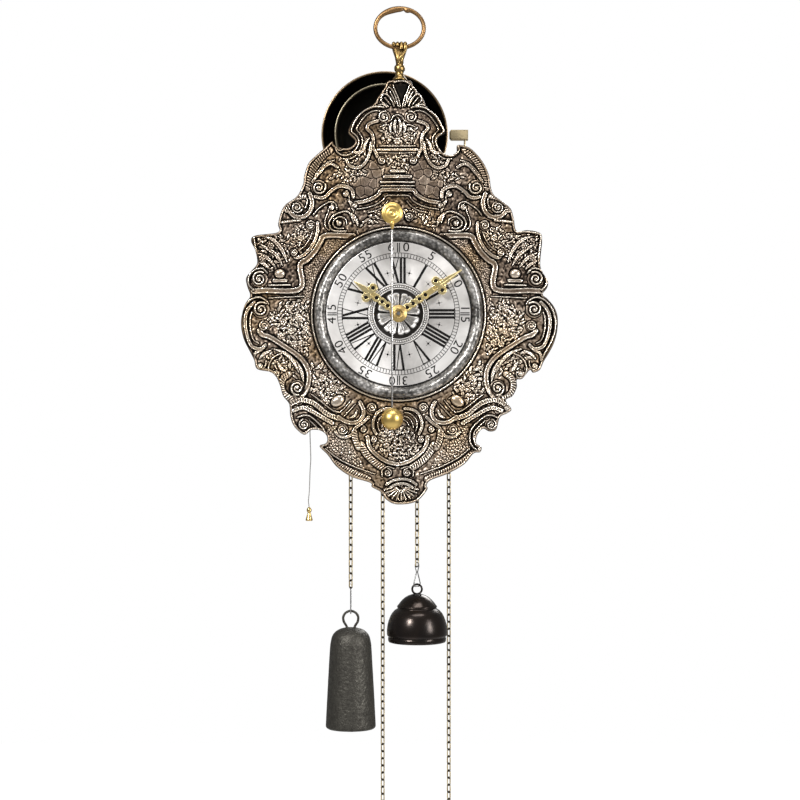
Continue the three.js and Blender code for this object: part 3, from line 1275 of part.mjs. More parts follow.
// Tapered weight: shares of its radius, and of its height down from the top
const weightShares = [
  [0, 0], [0.224, 0.0055], [0.313, 0.033], [0.639, 0.044], [0.799, 0.071], [1, 0.973], [0.928, 1], [0, 1],
];
const weightEyeRing = new THREE.TorusGeometry(weightEye, weightEyeWire, 6, 14);
weightEyeRing.rotateX(halfTurn / 2);
weightEyeRing.translate(goingX, chainY, goingEyeZ);
part('going_weight', joined(
  turnedZ(weightShares.map(([r, drop]) => [weightRadius * r, weightTop - weightHeight * drop]), goingX, chainY, 24),
  weightEyeRing,
), 'iron');
const hookTop = goingEndZ + linkPitch / 2;
const hookSide = 2.3;
// Hook wire: shares of its half width, and of its drop
const hookShares = [
  [-1, 0.092], [-0.74, 0.027], [0, 0], [0.74, 0.031], [1, 0.131], [1, 0.423], [1, 0.808], [0.87, 0.931],
  [0.35, 1], [-0.39, 1], [-0.91, 0.935], [-1.04, 0.854],
];
part('going_hook', wireAlong(
  hookShares.map(([side, drop]) => [goingX, chainY + hookSide * side, hookTop - hookDrop * drop]),
  hookWire, 18, 5), 'steel');

const bellWeightEye = 4.3;
const bellWeightEyeWire = 0.9;
const strikeHookTop = strikingEndZ + linkPitch / 2;
const strikeHookWire = 0.5;
const strikeHookDrop = 21;
const bellWeightEyeZ = strikeHookTop - strikeHookDrop + strikeHookWire + gap + bellWeightEyeWire - bellWeightEye;
const domeTop = bellWeightEyeZ - bellWeightEye;
const bellEyeRing = new THREE.TorusGeometry(bellWeightEye, bellWeightEyeWire, 5, 12);
bellEyeRing.rotateX(halfTurn / 2);
bellEyeRing.translate(strikingX, chainY, bellWeightEyeZ);
const bellWeightRadius = 27;
const bellWeightHeight = 43;
// Bell-shaped weight: shares of its radius, and of its height down from the dome
const bellWeightShares = [
  [0, -0.009], [0.185, 0.009], [0.444, 0.088], [0.663, 0.256], [0.637, 0.284], [0.759, 0.337], [0.889, 0.465],
  [0.974, 0.616], [1, 0.767], [0.985, 0.86], [0.933, 0.884], [0.963, 0.907], [0.956, 1], [0, 1],
];
part('striking_weight', joined(
  turnedZ(bellWeightShares.map(([r, drop]) => [bellWeightRadius * r, domeTop - bellWeightHeight * drop]),
    strikingX, chainY, 20),
  bellEyeRing,
), 'bronze');

const hookHalf = 2.8;
const hookSkew = 1.9;
// Wire stirrup: shares of its half width, its skew and its drop
const stirrupShares = [
  [-0.32, 0, 0.014], [0.32, 0, 0.014], [0.6, 0, 0.333], [1, 0.7, 0.667], [1, 1, 0.952], [0.7, 0.7, 1], [0, 0, 1],
  [-0.7, -0.7, 1], [-1, -1, 0.952], [-1, -0.7, 0.667], [-0.6, 0, 0.333],
];
const triangle = new THREE.CatmullRomCurve3(stirrupShares.map(([half, skew, drop]) => new THREE.Vector3(
  strikingX + hookHalf * half, chainY + hookSkew * skew, strikeHookTop - strikeHookDrop * drop)), true);
part('striking_hook', wireLoop(triangle, () => strikeHookWire, 22, 5), 'steel');

// Rings at the free ends of the chains
const tailRing = 5;
const tailWire = 0.9;

function tailGeometry(at, run, lean) {
  const ring = new THREE.TorusGeometry(tailRing, tailWire, 5, 12);
  ring.rotateX(halfTurn / 2);
  ring.rotateZ(halfTurn / 2);
  ring.translate(at[0] + chainRadius, chainY + lean, at[1] - run * linkPitch + linkPitch / 2 - tailRing);
  return ring;
}
part('going_tail_ring', tailGeometry(goingAt, goingFree, 0), 'brass');
part('striking_tail_ring', tailGeometry(strikingAt, strikingFree, freeLean), 'brass');

export default clock;
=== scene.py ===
import bpy
import bmesh
import numpy as np
from math import (asin, ceil, copysign, cos, degrees, exp, hypot, pi, radians, sin, sqrt)
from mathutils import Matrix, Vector, noise
from mathutils.geometry import delaunay_2d_cdt


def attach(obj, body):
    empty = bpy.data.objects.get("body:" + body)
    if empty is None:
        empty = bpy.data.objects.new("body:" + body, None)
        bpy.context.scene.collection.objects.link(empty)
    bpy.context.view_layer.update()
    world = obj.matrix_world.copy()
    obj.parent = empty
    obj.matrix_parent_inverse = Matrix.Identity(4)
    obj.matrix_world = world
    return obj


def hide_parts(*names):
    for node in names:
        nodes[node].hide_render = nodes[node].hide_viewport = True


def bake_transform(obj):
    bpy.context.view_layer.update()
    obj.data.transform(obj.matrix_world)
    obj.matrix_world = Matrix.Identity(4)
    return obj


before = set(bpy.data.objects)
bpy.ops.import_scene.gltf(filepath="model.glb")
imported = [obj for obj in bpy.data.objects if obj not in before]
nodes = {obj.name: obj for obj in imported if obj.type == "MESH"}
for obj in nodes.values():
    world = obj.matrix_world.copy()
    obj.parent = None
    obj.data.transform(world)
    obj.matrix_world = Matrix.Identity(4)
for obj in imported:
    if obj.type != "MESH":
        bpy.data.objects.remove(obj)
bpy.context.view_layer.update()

# Camera: level, in front of the dial's vertical axis, aimed a little below the dial. The
# plate's front plane stands 1.7 m away, where one photograph pixel is 0.87 mm of the plate.
MM = 0.001
plate_front = -9.0
hook_seat = 263.0
axis_shift = 1.0
pixel = 275.3 / 316.5
dial_pixel = (398.5, 314.0)
camera_distance = 1700.0
photo_pixels = 800
sensor_width = 36.0


def row(x, y, z):
    """Millimetres from the dial's centre on the plate's front plane, to metres in the row frame."""
    return Vector(((x - axis_shift) * MM, (y + plate_front) * MM, (z - hook_seat) * MM))


def from_photo(px, py):
    return ((px - dial_pixel[0]) * pixel, (dial_pixel[1] - py) * pixel)


def set_out(name, data):
    """A new object in the scene, holding the data."""
    holder = bpy.data.objects.new(name, data)
    bpy.context.collection.objects.link(holder)
    return holder


camera_data = bpy.data.cameras.new("camera")
camera_data.sensor_width = sensor_width
camera_data.lens = sensor_width * camera_distance / (photo_pixels * pixel)
camera_data.clip_start = 0.05
camera = set_out("camera", camera_data)
aim_x, aim_z = from_photo(photo_pixels / 2, photo_pixels / 2)
camera.location = row(aim_x, -camera_distance, aim_z)
camera.rotation_euler = (pi / 2, 0, 0)
bpy.context.scene.camera = camera

# Repeat cord: thin grey twisted thread, tied to the lever's end behind the plate. It hangs
# with the slight kinks that it keeps from being knotted, down to its brass toggle.
cord_radius = 0.4
lever_y = 25.4
cord_knots = [
    (-78, -38.8), (-78, -60), (-78.1, -85), (-78.15, -104.8), (-77.6, -121), (-77.5, -128),
    (-78.1, -137), (-78.5, -150), (-79, -158), (-79.5, -163), (-79.3, -166.5), (-78.9, -168.9),
]


def smooth_path(points, step, closed=False):
    """Points on a curve through the given ones, about a step apart."""
    given = np.array(points, dtype=float)
    count = len(given)
    spans = count if closed else count - 1
    out = []
    for i in range(spans):
        if closed:
            p0, p1, p2, p3 = (given[(i + k) % count] for k in (-1, 0, 1, 2))
        else:
            p0, p1, p2, p3 = (given[min(max(i + k, 0), count - 1)] for k in (-1, 0, 1, 2))
        parts = max(1, int(ceil(np.linalg.norm(p2 - p1) / step)))
        for k in range(parts):
            t = k / parts
            out.append(0.5 * (2 * p1 + (p2 - p0) * t + (2 * p0 - 5 * p1 + 4 * p2 - p3) * t * t
                              + (3 * p1 - p0 - 3 * p2 + p3) * t ** 3))
    if not closed:
        out.append(given[-1])
    return np.array(out)


def new_piece(name, verts, faces, material, smooth=True):
    """A mesh piece from corners in metres in the row frame, with its faces turned outwards."""
    mesh = bpy.data.meshes.new(name)
    mesh.from_pydata([tuple(v) for v in verts], [], faces)
    mesh.validate()
    shell = bmesh.new()
    shell.from_mesh(mesh)
    bmesh.ops.recalc_face_normals(shell, faces=shell.faces)
    shell.to_mesh(mesh)
    shell.free()
    mesh.polygons.foreach_set("use_smooth", [smooth] * len(mesh.polygons))
    mesh.materials.append(material)
    return set_out(name, mesh)


def loft(rings, closed=False):
    """Corners and faces of a skin over rings of equally many corners; open ends get a cap."""
    sides, count = len(rings[0]), len(rings)
    faces = []
    for i in range(count if closed else count - 1):
        for k in range(sides):
            n, up = (k + 1) % sides, (i + 1) % count
            faces.append((i * sides + k, i * sides + n, up * sides + n, up * sides + k))
    if not closed:
        faces += [tuple(range(sides))[::-1], tuple((count - 1) * sides + k for k in range(sides))]
    return [corner for ring in rings for corner in ring], faces


def wire_mesh(points, radius, sides=10, closed=False):
    """Corners and faces of a round wire along points; radius is a number or one per point."""
    line = [Vector(p) for p in points]
    count = len(line)
    radii = [radius] * count if np.isscalar(radius) else list(radius)
    tangents = []
    for i in range(count):
        ahead = line[(i + 1) % count] if closed else line[min(i + 1, count - 1)]
        behind = line[i - 1] if closed or i else line[0]
        tangents.append((ahead - behind).normalized())
    normal = tangents[0].orthogonal().normalized()
    if abs(tangents[0].y) < 0.9:
        normal = (Vector((0, 1, 0)) - tangents[0] * tangents[0].y).normalized()
    rings = []
    for centre, radius, tangent in zip(line, radii, tangents):
        normal = (normal - tangent * normal.dot(tangent)).normalized()
        side = tangent.cross(normal)
        turns = [2 * pi * k / sides for k in range(sides)]
        rings.append([centre + radius * (cos(a) * normal + sin(a) * side) for a in turns])
    return loft(rings, closed)


def node_adder(tree):
    """A function that adds a node to a tree, with its settings, and wires or sets its sockets."""
    def add(kind, sockets=None, **settings):
        node = tree.nodes.new(kind)
        for key, value in settings.items():
            if hasattr(node, key):
                setattr(node, key, value)
            else:
                node.inputs[key.replace("_", " ")].default_value = value
        for socket, source in (sockets or {}).items():
            if isinstance(source, bpy.types.NodeSocket):
                tree.links.new(source, node.inputs[socket])
            else:
                node.inputs[socket].default_value = source
        return node
    return add


def new_material(name):
    """An empty node material, its shader and functions that add nodes and wire the shader."""
    material = bpy.data.materials.new(name)
    material.use_nodes = True
    tree = material.node_tree
    shader = tree.nodes["Principled BSDF"]

    def wire(source, socket):
        tree.links.new(source, shader.inputs[socket])
    return material, shader, node_adder(tree), wire


def ramp_of(add, source, stops):
    node = add("ShaderNodeValToRGB", {"Fac": source})
    elements = node.color_ramp.elements
    while len(elements) < len(stops):
        elements.new(0.5)
    for element, (place, colour) in zip(elements, stops):
        element.position = place
        element.color = (*colour, 1)
    return node.outputs["Color"]


def mixed(add, share, first, second):
    """A colour that goes from the first to the second as the share goes from 0 to 1."""
    return add("ShaderNodeMix", {"Factor": share, "A": first, "B": second},
               data_type="RGBA").outputs["Result"]


def bumped(add, wire, height, distance, strength=0.6, **settings):
    bump = add("ShaderNodeBump", {"Height": height}, Distance=distance, Strength=strength,
               **settings)
    wire(bump.outputs["Normal"], "Normal")


def mottled(add, place, scale, detail, **settings):
    """Soft noise over a surface."""
    return add("ShaderNodeTexNoise", {"Vector": place}, Scale=scale, Detail=detail,
               **settings).outputs["Fac"]


def spread(add, value, from_low, from_high, to_low, to_high):
    """A value spread from one range over another."""
    return add("ShaderNodeMapRange", {"Value": value}, From_Min=from_low, From_Max=from_high,
               To_Min=to_low, To_Max=to_high).outputs["Result"]


def thread_finish():
    material, shader, add, wire = new_material("grey_thread")
    place = add("ShaderNodeTexCoord").outputs["Object"]
    ply = add("ShaderNodeMapping", {"Vector": place}, Rotation=(0, radians(35), 0))
    twist = add("ShaderNodeTexWave", {"Vector": ply.outputs["Vector"]}, Scale=900.0, Distortion=0.6)
    wire(ramp_of(add, twist.outputs["Fac"], [(0.15, (0.16, 0.15, 0.14)), (0.8, (0.42, 0.4, 0.38))]),
         "Base Color")
    shader.inputs["Roughness"].default_value = 0.9
    bumped(add, wire, twist.outputs["Fac"], 0.0002, 0.8)
    return material


cord_line = [row(x, lever_y, z) for x, z in smooth_path(cord_knots, 1.6)]
cord = new_piece("repeat_thread", *wire_mesh(cord_line, cord_radius * MM, 8), thread_finish())


def aged_metal(name, clean, stained, roughness, stain_scale=60.0, stain_share=0.5, bump=0.00006,
               metallic=1.0, grain_scale=900.0, contrast=0.25, grime_and_shade=None):
    """Metal whose colour and gloss change in soft patches, with fine wear in the surface."""
    material, shader, add, wire = new_material(name)
    place = add("ShaderNodeTexCoord").outputs["Object"]
    patch = mottled(add, place, stain_scale, 6.0, Roughness=0.62, Distortion=0.4)
    colour = ramp_of(add, patch, [(stain_share - contrast, stained),
                                  (stain_share + contrast, clean)])
    if grime_and_shade:
        soiled = add("ShaderNodeAttribute", attribute_name="grime_and_shade").outputs["Fac"]
        colour = mixed(add, soiled, colour, (*grime_and_shade, 1))
    wire(colour, "Base Color")
    wire(spread(add, patch, 0.3, 0.7, roughness[1], roughness[0]), "Roughness")
    shader.inputs["Metallic"].default_value = metallic
    bumped(add, wire, mottled(add, place, grain_scale, 3.0), bump)
    return material


brass = aged_metal("aged_brass", (0.80, 0.60, 0.24), (0.52, 0.34, 0.12), (0.22, 0.42))

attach(cord, "pull")
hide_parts("repeat_cord")

# Toggle: a small turned brass drop, drilled through so that the thread can be knotted inside.
# A ball tops a waisted skirt that widens to a flat foot.
toggle_x, toggle_top = -78.9, -169.2


def revolve(profile, segments=48, axis="Z", centre=(0, 0, 0), closed=False):
    """Corners and faces of a turned form: (radius, height) pairs about an axis through centre."""
    verts, faces, rows = [], [], []
    for radius, height in profile:
        start = len(verts)
        if radius < 1e-6:
            ring = [(0.0, 0.0)]
        else:
            turns = [2 * pi * k / segments for k in range(segments)]
            ring = [(radius * cos(a), radius * sin(a)) for a in turns]
        rows.append(list(range(start, start + len(ring))))
        for a, b in ring:
            offset = (a, b, height) if axis == "Z" else (a, height, b)
            verts.append(row(*(c + o for c, o in zip(centre, offset))))
    for low, high in zip(rows, rows[1:] + (rows[:1] if closed else [])):
        for k in range(segments):
            n = (k + 1) % segments
            if len(low) == 1 and len(high) > 1:
                faces.append((low[0], high[n], high[k]))
            elif len(high) == 1 and len(low) > 1:
                faces.append((low[k], low[n], high[0]))
            elif len(low) > 1:
                faces.append((low[k], low[n], high[n], high[k]))
    return verts, faces


def several(*meshes):
    """Puts separate closed shells into one list of corners and one of faces."""
    verts, faces = [], []
    for part_verts, part_faces in meshes:
        start = len(verts)
        verts += list(part_verts)
        faces += [tuple(start + i for i in face) for face in part_faces]
    return verts, faces


def circle_points(centre, radius, count, plane="XZ"):
    out = []
    for k in range(count):
        a, b = radius * cos(2 * pi * k / count), radius * sin(2 * pi * k / count)
        offset = (a, 0, b) if plane == "XZ" else (0, a, b)
        out.append(row(*(c + o for c, o in zip(centre, offset))))
    return out


toggle_profile = [
    (0, -12.2), (2.7, -12.2), (3.0, -12.0), (3.1, -11.5), (3.08, -10.9), (2.85, -10.6),
    (2.75, -10.0), (2.35, -8.6), (1.95, -7.2), (1.6, -6.0), (1.35, -5.1), (1.5, -4.6), (1.9, -4.2),
    (2.15, -3.3), (2.15, -2.4), (1.9, -1.5), (1.3, -0.8), (1.1, -0.3), (0.7, -0.05), (0, 0),
]
toggle = new_piece("toggle_drop", *revolve(
    toggle_profile, 40, "Z", (toggle_x, lever_y, toggle_top)), brass)
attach(toggle, "pull")
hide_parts("repeat_toggle")

# Movement: two brass plates, riveted pillars and posts, and the train between them. The
# wheels are cut brass and the arbors and pinions bright steel, filed and polished by hand.
plate_brass = aged_metal("rolled_brass", (0.72, 0.55, 0.25), (0.42, 0.30, 0.13), (0.3, 0.5), 35.0)
wheel_brass = aged_metal("wheel_brass", (0.82, 0.64, 0.30), (0.60, 0.42, 0.17), (0.2, 0.36), 90.0)
bright_steel = aged_metal("bright_steel", (0.56, 0.56, 0.56), (0.30, 0.28, 0.26), (0.22, 0.4),
                          120.0)
forged_iron = aged_metal("forged_iron", (0.16, 0.145, 0.13), (0.07, 0.055, 0.045), (0.5, 0.75),
                         70.0, bump=0.0002, metallic=0.8, grain_scale=350.0)
kept_finishes = {
    plate_brass: ["movement_front_plate", "movement_back_plate", "pillar_upper_left",
                  "pillar_upper_right", "pillar_lower_left", "pillar_lower_right",
                  "wall_spacer_left", "wall_spacer_right", "potence", "bell_nut"],
    wheel_brass: ["centre_wheel", "cannon_pinion", "hour_wheel", "minute_wheel",
                  "going_great_wheel", "striking_great_wheel", "going_sprocket",
                  "striking_sprocket", "contrate_wheel", "crown_wheel", "locking_wheel",
                  "warning_wheel"],
    bright_steel: ["centre_arbor", "going_arbor", "striking_arbor", "contrate_arbor",
                   "crown_arbor", "verge", "fly", "going_click", "striking_click", "repeat_lever"],
    forged_iron: ["hanger_strap", "bell_stand"],
}


def refinished(names, material):
    """Gives CAD nodes that stay as they are a finish."""
    for name in names:
        for material_slot in nodes[name].material_slots:
            material_slot.link = "OBJECT"
            material_slot.material = material


for material, names in kept_finishes.items():
    refinished(names, material)

# Chains: open brass links bent from 1.2 mm wire, 6.35 mm apart, each standing square to
# its neighbours. They run over the spiked sprockets, down to a weight and to a free end.
link_pitch, link_wire, link_half = 6.35, 1.2, 2.3
spikes = 7
chain_radius = link_pitch / 2 / sin(pi / (2 * spikes))
over_radius = chain_radius * cos(pi / (2 * spikes))
tail_wire, tail_radius = 0.9, 5.0
chain_y = 45.0
sprockets = {"going": (-28.4, -20.0), "striking": (30.8, -20.0)}
weight_links = {"going": 35, "striking": 32}
free_links = 67
free_lean = {"going": 0.0, "striking": 8.5}
lean_links = 8
chain_brass = aged_metal("chain_brass", (0.96, 0.84, 0.56), (0.62, 0.46, 0.22), (0.3, 0.45), 160.0,
                         contrast=0.12, metallic=0.5, grime_and_shade=(0.02, 0.014, 0.008))


def held(values):
    return np.clip(values, 0, 1)


def marked(piece, label, values):
    """Keeps one number for each corner of a piece, which its material reads."""
    piece.data.attributes.new(label, "FLOAT", "POINT").data.foreach_set("value", values)


def link_source():
    """One link, long axis Z, opening along X."""
    reach = link_pitch / 2 + link_wire / 2
    bend = link_half - link_wire / 2
    points = []
    for sign in (1, -1):
        for k in range(7):
            angle = pi * k / 6
            points.append(Vector((0, sign * bend * cos(angle),
                                  sign * (reach - bend + bend * sin(angle)))) * MM)
    verts, faces = wire_mesh(points, link_wire / 2 * MM, 8, True)
    piece = new_piece("link_source", verts, faces, chain_brass)
    ends = np.array([abs((v.co.z) / (reach * MM)) for v in piece.data.vertices])
    marked(piece, "grime_and_shade", held((ends - 0.45) / 0.3))
    piece.hide_render = True
    return piece


def socket_id(tree, name):
    return next(item.identifier for item in tree.interface.items_tree
                if item.item_type == "SOCKET" and item.in_out == "INPUT" and item.name == name)


def new_tree(name, inputs):
    """A geometry tree with named inputs, its adder of nodes and its input's outlets."""
    tree = bpy.data.node_groups.new(name, "GeometryNodeTree")
    for label, kind in inputs:
        tree.interface.new_socket(label, in_out="INPUT", socket_type="NodeSocket" + kind)
    tree.interface.new_socket("Geometry", in_out="OUTPUT", socket_type="NodeSocketGeometry")
    add = node_adder(tree)
    return tree, add, add("NodeGroupInput").outputs


def finish_tree(add, instances, material):
    """Ends a tree: its instances made real and given their material."""
    solid = add("GeometryNodeRealizeInstances", {"Geometry": instances})
    painted = add("GeometryNodeSetMaterial", {
        "Geometry": solid.outputs["Geometry"], "Material": material})
    add("NodeGroupOutput", {"Geometry": painted.outputs["Geometry"]})


def reckoned(add, operation, *terms):
    """The value of a sum whose terms are sockets or numbers."""
    return add("ShaderNodeMath", dict(enumerate(terms)), operation=operation).outputs["Value"]


def link_tree():
    """Sets a link on every point of a path, turned square to the one before."""
    tree, add, given = new_tree("linked_chain", [
        ("Geometry", "Geometry"), ("Links", "Int"), ("First turn", "Float"),
        ("Straight at", "Float"), ("Twist", "Float"), ("Link", "Object"), ("Material", "Material")])
    curve = add("GeometryNodeMeshToCurve", {"Mesh": given["Geometry"]})
    spaced = add("GeometryNodeResampleCurve", {
        "Curve": curve.outputs["Curve"], "Count": given["Links"]})
    source = add("GeometryNodeObjectInfo", {"Object": given["Link"]})
    tangent = add("GeometryNodeInputTangent")
    aligned = add("FunctionNodeAlignRotationToVector", {"Vector": tangent.outputs["Tangent"]},
                  axis="Z", pivot_axis="Y")
    index = add("GeometryNodeInputIndex").outputs["Index"]
    odd = reckoned(add, "MODULO", index, 2)
    turn = reckoned(add, "MULTIPLY_ADD", odd, pi / 2, given["First turn"])
    away = reckoned(add, "ABSOLUTE", reckoned(add, "SUBTRACT", index, given["Straight at"]))
    twist = reckoned(add, "MINIMUM", reckoned(add, "MULTIPLY", away, given["Twist"]), pi / 4)
    spin = add("ShaderNodeCombineXYZ", {"Z": reckoned(add, "ADD", turn, twist)})
    quarter = add("FunctionNodeEulerToRotation", {"Euler": spin.outputs["Vector"]})
    turned = add("FunctionNodeRotateRotation", {"Rotation": aligned.outputs["Rotation"],
                                                "Rotate By": quarter.outputs["Rotation"]},
                 rotation_space="LOCAL")
    placed = add("GeometryNodeInstanceOnPoints", {
        "Points": spaced.outputs["Curve"], "Instance": source.outputs["Geometry"],
        "Rotation": turned.outputs["Rotation"]})
    finish_tree(add, placed.outputs["Instances"], given["Material"])
    return tree


def grown(name, verts, edges, tree, values, material, smooth=True, turns=None):
    """Runs a node tree over a bare path or point mesh and keeps the result as a plain mesh."""
    mesh = bpy.data.meshes.new(name)
    mesh.from_pydata([tuple(v) for v in verts], edges, [])
    if turns:
        mesh.attributes.new("turn", "FLOAT", "POINT").data.foreach_set("value", turns)
    seed = set_out(name + "_path", mesh)
    modifier = seed.modifiers.new("grow", "NODES")
    modifier.node_group = tree
    for label, value in values.items():
        modifier[socket_id(tree, label)] = value
    modifier[socket_id(tree, "Material")] = material
    bpy.context.view_layer.update()
    solid = bpy.data.meshes.new_from_object(
        seed.evaluated_get(bpy.context.evaluated_depsgraph_get()))
    solid.name = name
    bpy.data.objects.remove(seed)
    solid.polygons.foreach_set("use_smooth", [smooth] * len(solid.polygons))
    return set_out(name, solid)


link, chain_nodes = link_source(), link_tree()


def chain_piece(name, first, last, links, first_turn, straight_at=0.0, twist=radians(3)):
    points = [first, last] if len(first) == 3 else first
    edges = [(i, i + 1) for i in range(len(points) - 1)]
    return grown(name, [row(*p) for p in points], edges, chain_nodes,
                 {"Links": links, "First turn": first_turn, "Straight at": straight_at,
                  "Twist": twist, "Link": link}, chain_brass)


# Links are counted up from the weight. The last one below the sprocket stands on edge, and the
# next one, at the sprocket's left edge, lies flat with its opening facing the sprocket.
for train, (sx, sz) in sprockets.items():
    count = weight_links[train]
    left, right = sx - chain_radius, sx + chain_radius
    bottom = (left, chain_y, sz - (count - 0.5) * link_pitch)
    top = (left, chain_y, sz - 0.5 * link_pitch)
    lowest_flat = pi / 2 if count % 2 == 0 else 0.0
    hung = chain_piece(train + "_chain_to_weight", bottom, top, count, lowest_flat, count - 1.0)
    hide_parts(train + "_chain")
    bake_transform(hung)
    turns = [pi * (i + 0.5) / spikes for i in range(spikes)]
    over = [(sx - over_radius * cos(a), chain_y, sz + over_radius * sin(a)) for a in turns]
    wrap = chain_piece(train + "_chain_over_sprocket", over, None, spikes, pi / 2, twist=0.0)
    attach(wrap, "frame")
    lean = free_lean[train]
    upper = [(right, chain_y + lean * min(1, (i + 0.5) / lean_links), sz - (i + 0.5) * link_pitch)
             for i in range(free_links)]
    free = chain_piece(train + "_chain_free", upper, None, free_links, 0.0)
    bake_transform(free)
    tail_z = sz - free_links * link_pitch + link_pitch / 2 - tail_radius
    ring = new_piece(train + "_tail_loop", *wire_mesh(
        circle_points((right, chain_y + lean, tail_z), tail_radius, 40, "YZ"),
        tail_wire * MM, 12, True), chain_brass)
    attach(ring, train + "_tail")
    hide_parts(train + "_tail_ring")
bpy.data.objects.remove(link)

# Going weight: a tapered cast iron cylinder with a wrought eye, rusted brown and dull. It
# hangs on a bent steel hook from the last link of its chain.
cast_iron = aged_metal("cast_iron", (0.088, 0.083, 0.07), (0.03, 0.027, 0.023), (0.42, 0.64), 300.0,
                       bump=0.0012, metallic=0.75, grain_scale=420.0)
going_x = sprockets["going"][0] - chain_radius
going_end = sprockets["going"][1] - weight_links["going"] * link_pitch
going_top = going_end + link_pitch / 2
hook_drop, hook_half, eye_play = 26, 0.6, 0.3
eye_half, eye_reach, eye_sunk = 1.1, 6.9, 0.6
eye_z = going_top - hook_drop + hook_half + eye_play + eye_half - eye_reach
weight_top = eye_z - eye_reach + eye_sunk
casting_wander = 0.12
eye_points = [
    (-2.8, -9.6), (-3.9, -6.4), (-6.2, -2.6), (-6.6, 1.6), (-4.4, 5.2), (0, 6.9), (4.4, 5.2),
    (6.6, 1.6), (6.2, -2.6), (3.9, -6.4), (2.8, -9.6),
]
weight_profile = [
    (0, -1.4), (3.6, -1.6), (6.4, -2.0), (9.2, -2.8), (11.8, -4.0), (14.0, -5.6), (15.8, -7.7),
    (17.0, -10.2), (17.7, -13.0), (18.4, -17), (20.2, -48), (22.0, -82), (22.3, -88.4),
    (22.25, -89.6), (21.7, -90.7), (20.6, -91.4), (17, -91.6), (0, -91.6),
]


def roughened(mesh_parts, amount, grain, seed):
    """Moves corners slightly along a smooth noise field, as a casting's skin wanders."""
    verts, faces = mesh_parts
    out = []
    for v in verts:
        field = noise.noise_vector((v * grain) + Vector((seed, seed, seed)))
        out.append(v + field * amount * MM)
    return out, faces


def refined(profile, step):
    out = [profile[0]]
    for (r0, z0), (r1, z1) in zip(profile, profile[1:]):
        parts = max(1, int(hypot(r1 - r0, z1 - z0) / step))
        out += [(r0 + (r1 - r0) * k / parts, z0 + (z1 - z0) * k / parts)
                for k in range(1, parts + 1)]
    return out


iron_shell = revolve(refined(weight_profile, 2.5), 72, "Z", (going_x, chain_y, weight_top))
iron_eye = wire_mesh([row(going_x + x, chain_y, eye_z + z)
                      for x, z in smooth_path(eye_points, 0.6)], eye_half * MM, 12)
noise.seed_set(5)  # one fixed field for every casting
iron_body = new_piece("iron_weight", *several(
    roughened(iron_shell, casting_wander, 160, 3),
    roughened(iron_eye, casting_wander, 400, 5)), cast_iron)
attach(iron_body, "going_weight")
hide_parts("going_weight")
hook_points = [
    (-2.3, -2.4), (-1.7, -0.7), (0, 0), (1.7, -0.8), (2.3, -3.4), (2.3, -11), (2.3, -21),
    (2, -24.2), (0.8, -26), (-0.9, -26), (-2.1, -24.3), (-2.4, -22.2),
]
hook = new_piece("steel_hook", *wire_mesh(
    [row(going_x, chain_y + y, going_top + z) for y, z in smooth_path(hook_points, 0.5)],
    hook_half * MM, 12), bright_steel)
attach(hook, "going_weight")
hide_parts("going_hook")

# Striking weight: a hollow-looking bell form in dark bronze, turned, with a raised lip below
# its dome and a stepped rim. It hangs by a small eye in a bent wire stirrup.
dark_bronze = aged_metal("dark_bronze", (0.042, 0.031, 0.025), (0.011, 0.010, 0.010),
                         (0.16, 0.3), 38.0, bump=0.0001, metallic=0.8)
strike_x = sprockets["striking"][0] - chain_radius
strike_end = sprockets["striking"][1] - weight_links["striking"] * link_pitch
strike_top = strike_end + link_pitch / 2
stirrup_drop, stirrup_half = 21, 0.5
ring_eye_half, ring_eye_radius = 0.9, 4.3
strike_eye_z = strike_top - stirrup_drop + stirrup_half + eye_play + ring_eye_half - ring_eye_radius
dome_top = strike_eye_z - ring_eye_radius
dome_profile = [
    (0, 0.4), (2.2, 0.3), (5, -0.4), (8, -1.5), (10.6, -3.0), (13.2, -5.2), (15.2, -7.5),
    (16.6, -9.4), (17.7, -10.7), (17.9, -11.2), (17.7, -11.9), (17.0, -12.3), (17.6, -13.0),
    (20.2, -14.6), (22.6, -17.4), (24.2, -20.4), (25.5, -24.0), (26.3, -27.0), (26.85, -30.6),
    (27, -33.4), (26.95, -35.8), (26.5, -37.2), (25.5, -37.9), (25.2, -38.4), (25.9, -39.1),
    (26.0, -39.8), (25.8, -41.6), (25.3, -42.6), (24, -43), (0, -43),
]
bronze_body = new_piece("bronze_weight", *several(
    revolve(refined(dome_profile, 3.0), 96, "Z", (strike_x, chain_y, dome_top)),
    wire_mesh(circle_points((strike_x, chain_y, strike_eye_z), ring_eye_radius, 40),
              ring_eye_half * MM, 12, True)), dark_bronze)
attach(bronze_body, "striking_weight")
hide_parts("striking_weight")
stirrup_points = [
    (-0.9, 0, -0.3), (0.9, 0, -0.3), (1.6, 0, -3), (0.62, 0, -7.6), (0.6, 0, -9), (1.7, 0.8, -13.5),
    (2.8, 1.7, -18.8), (1.96, 1.33, -21), (0, 0, -21), (-1.96, -1.33, -21), (-2.8, -1.7, -18.8),
    (-1.7, -0.8, -13.5), (-0.6, 0, -9), (-0.62, 0, -7.6), (-1.6, 0, -3),
]
dull_steel = aged_metal("dull_steel", (0.30, 0.30, 0.29), (0.10, 0.10, 0.095), (0.35, 0.5), 200.0)
stirrup = new_piece("wire_stirrup", *wire_mesh(
    [row(strike_x + x, chain_y + y, strike_top + z)
     for x, y, z in smooth_path(stirrup_points, 0.5, True)], stirrup_half * MM, 10, True),
    dull_steel)
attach(stirrup, "striking_weight")
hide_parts("striking_hook")

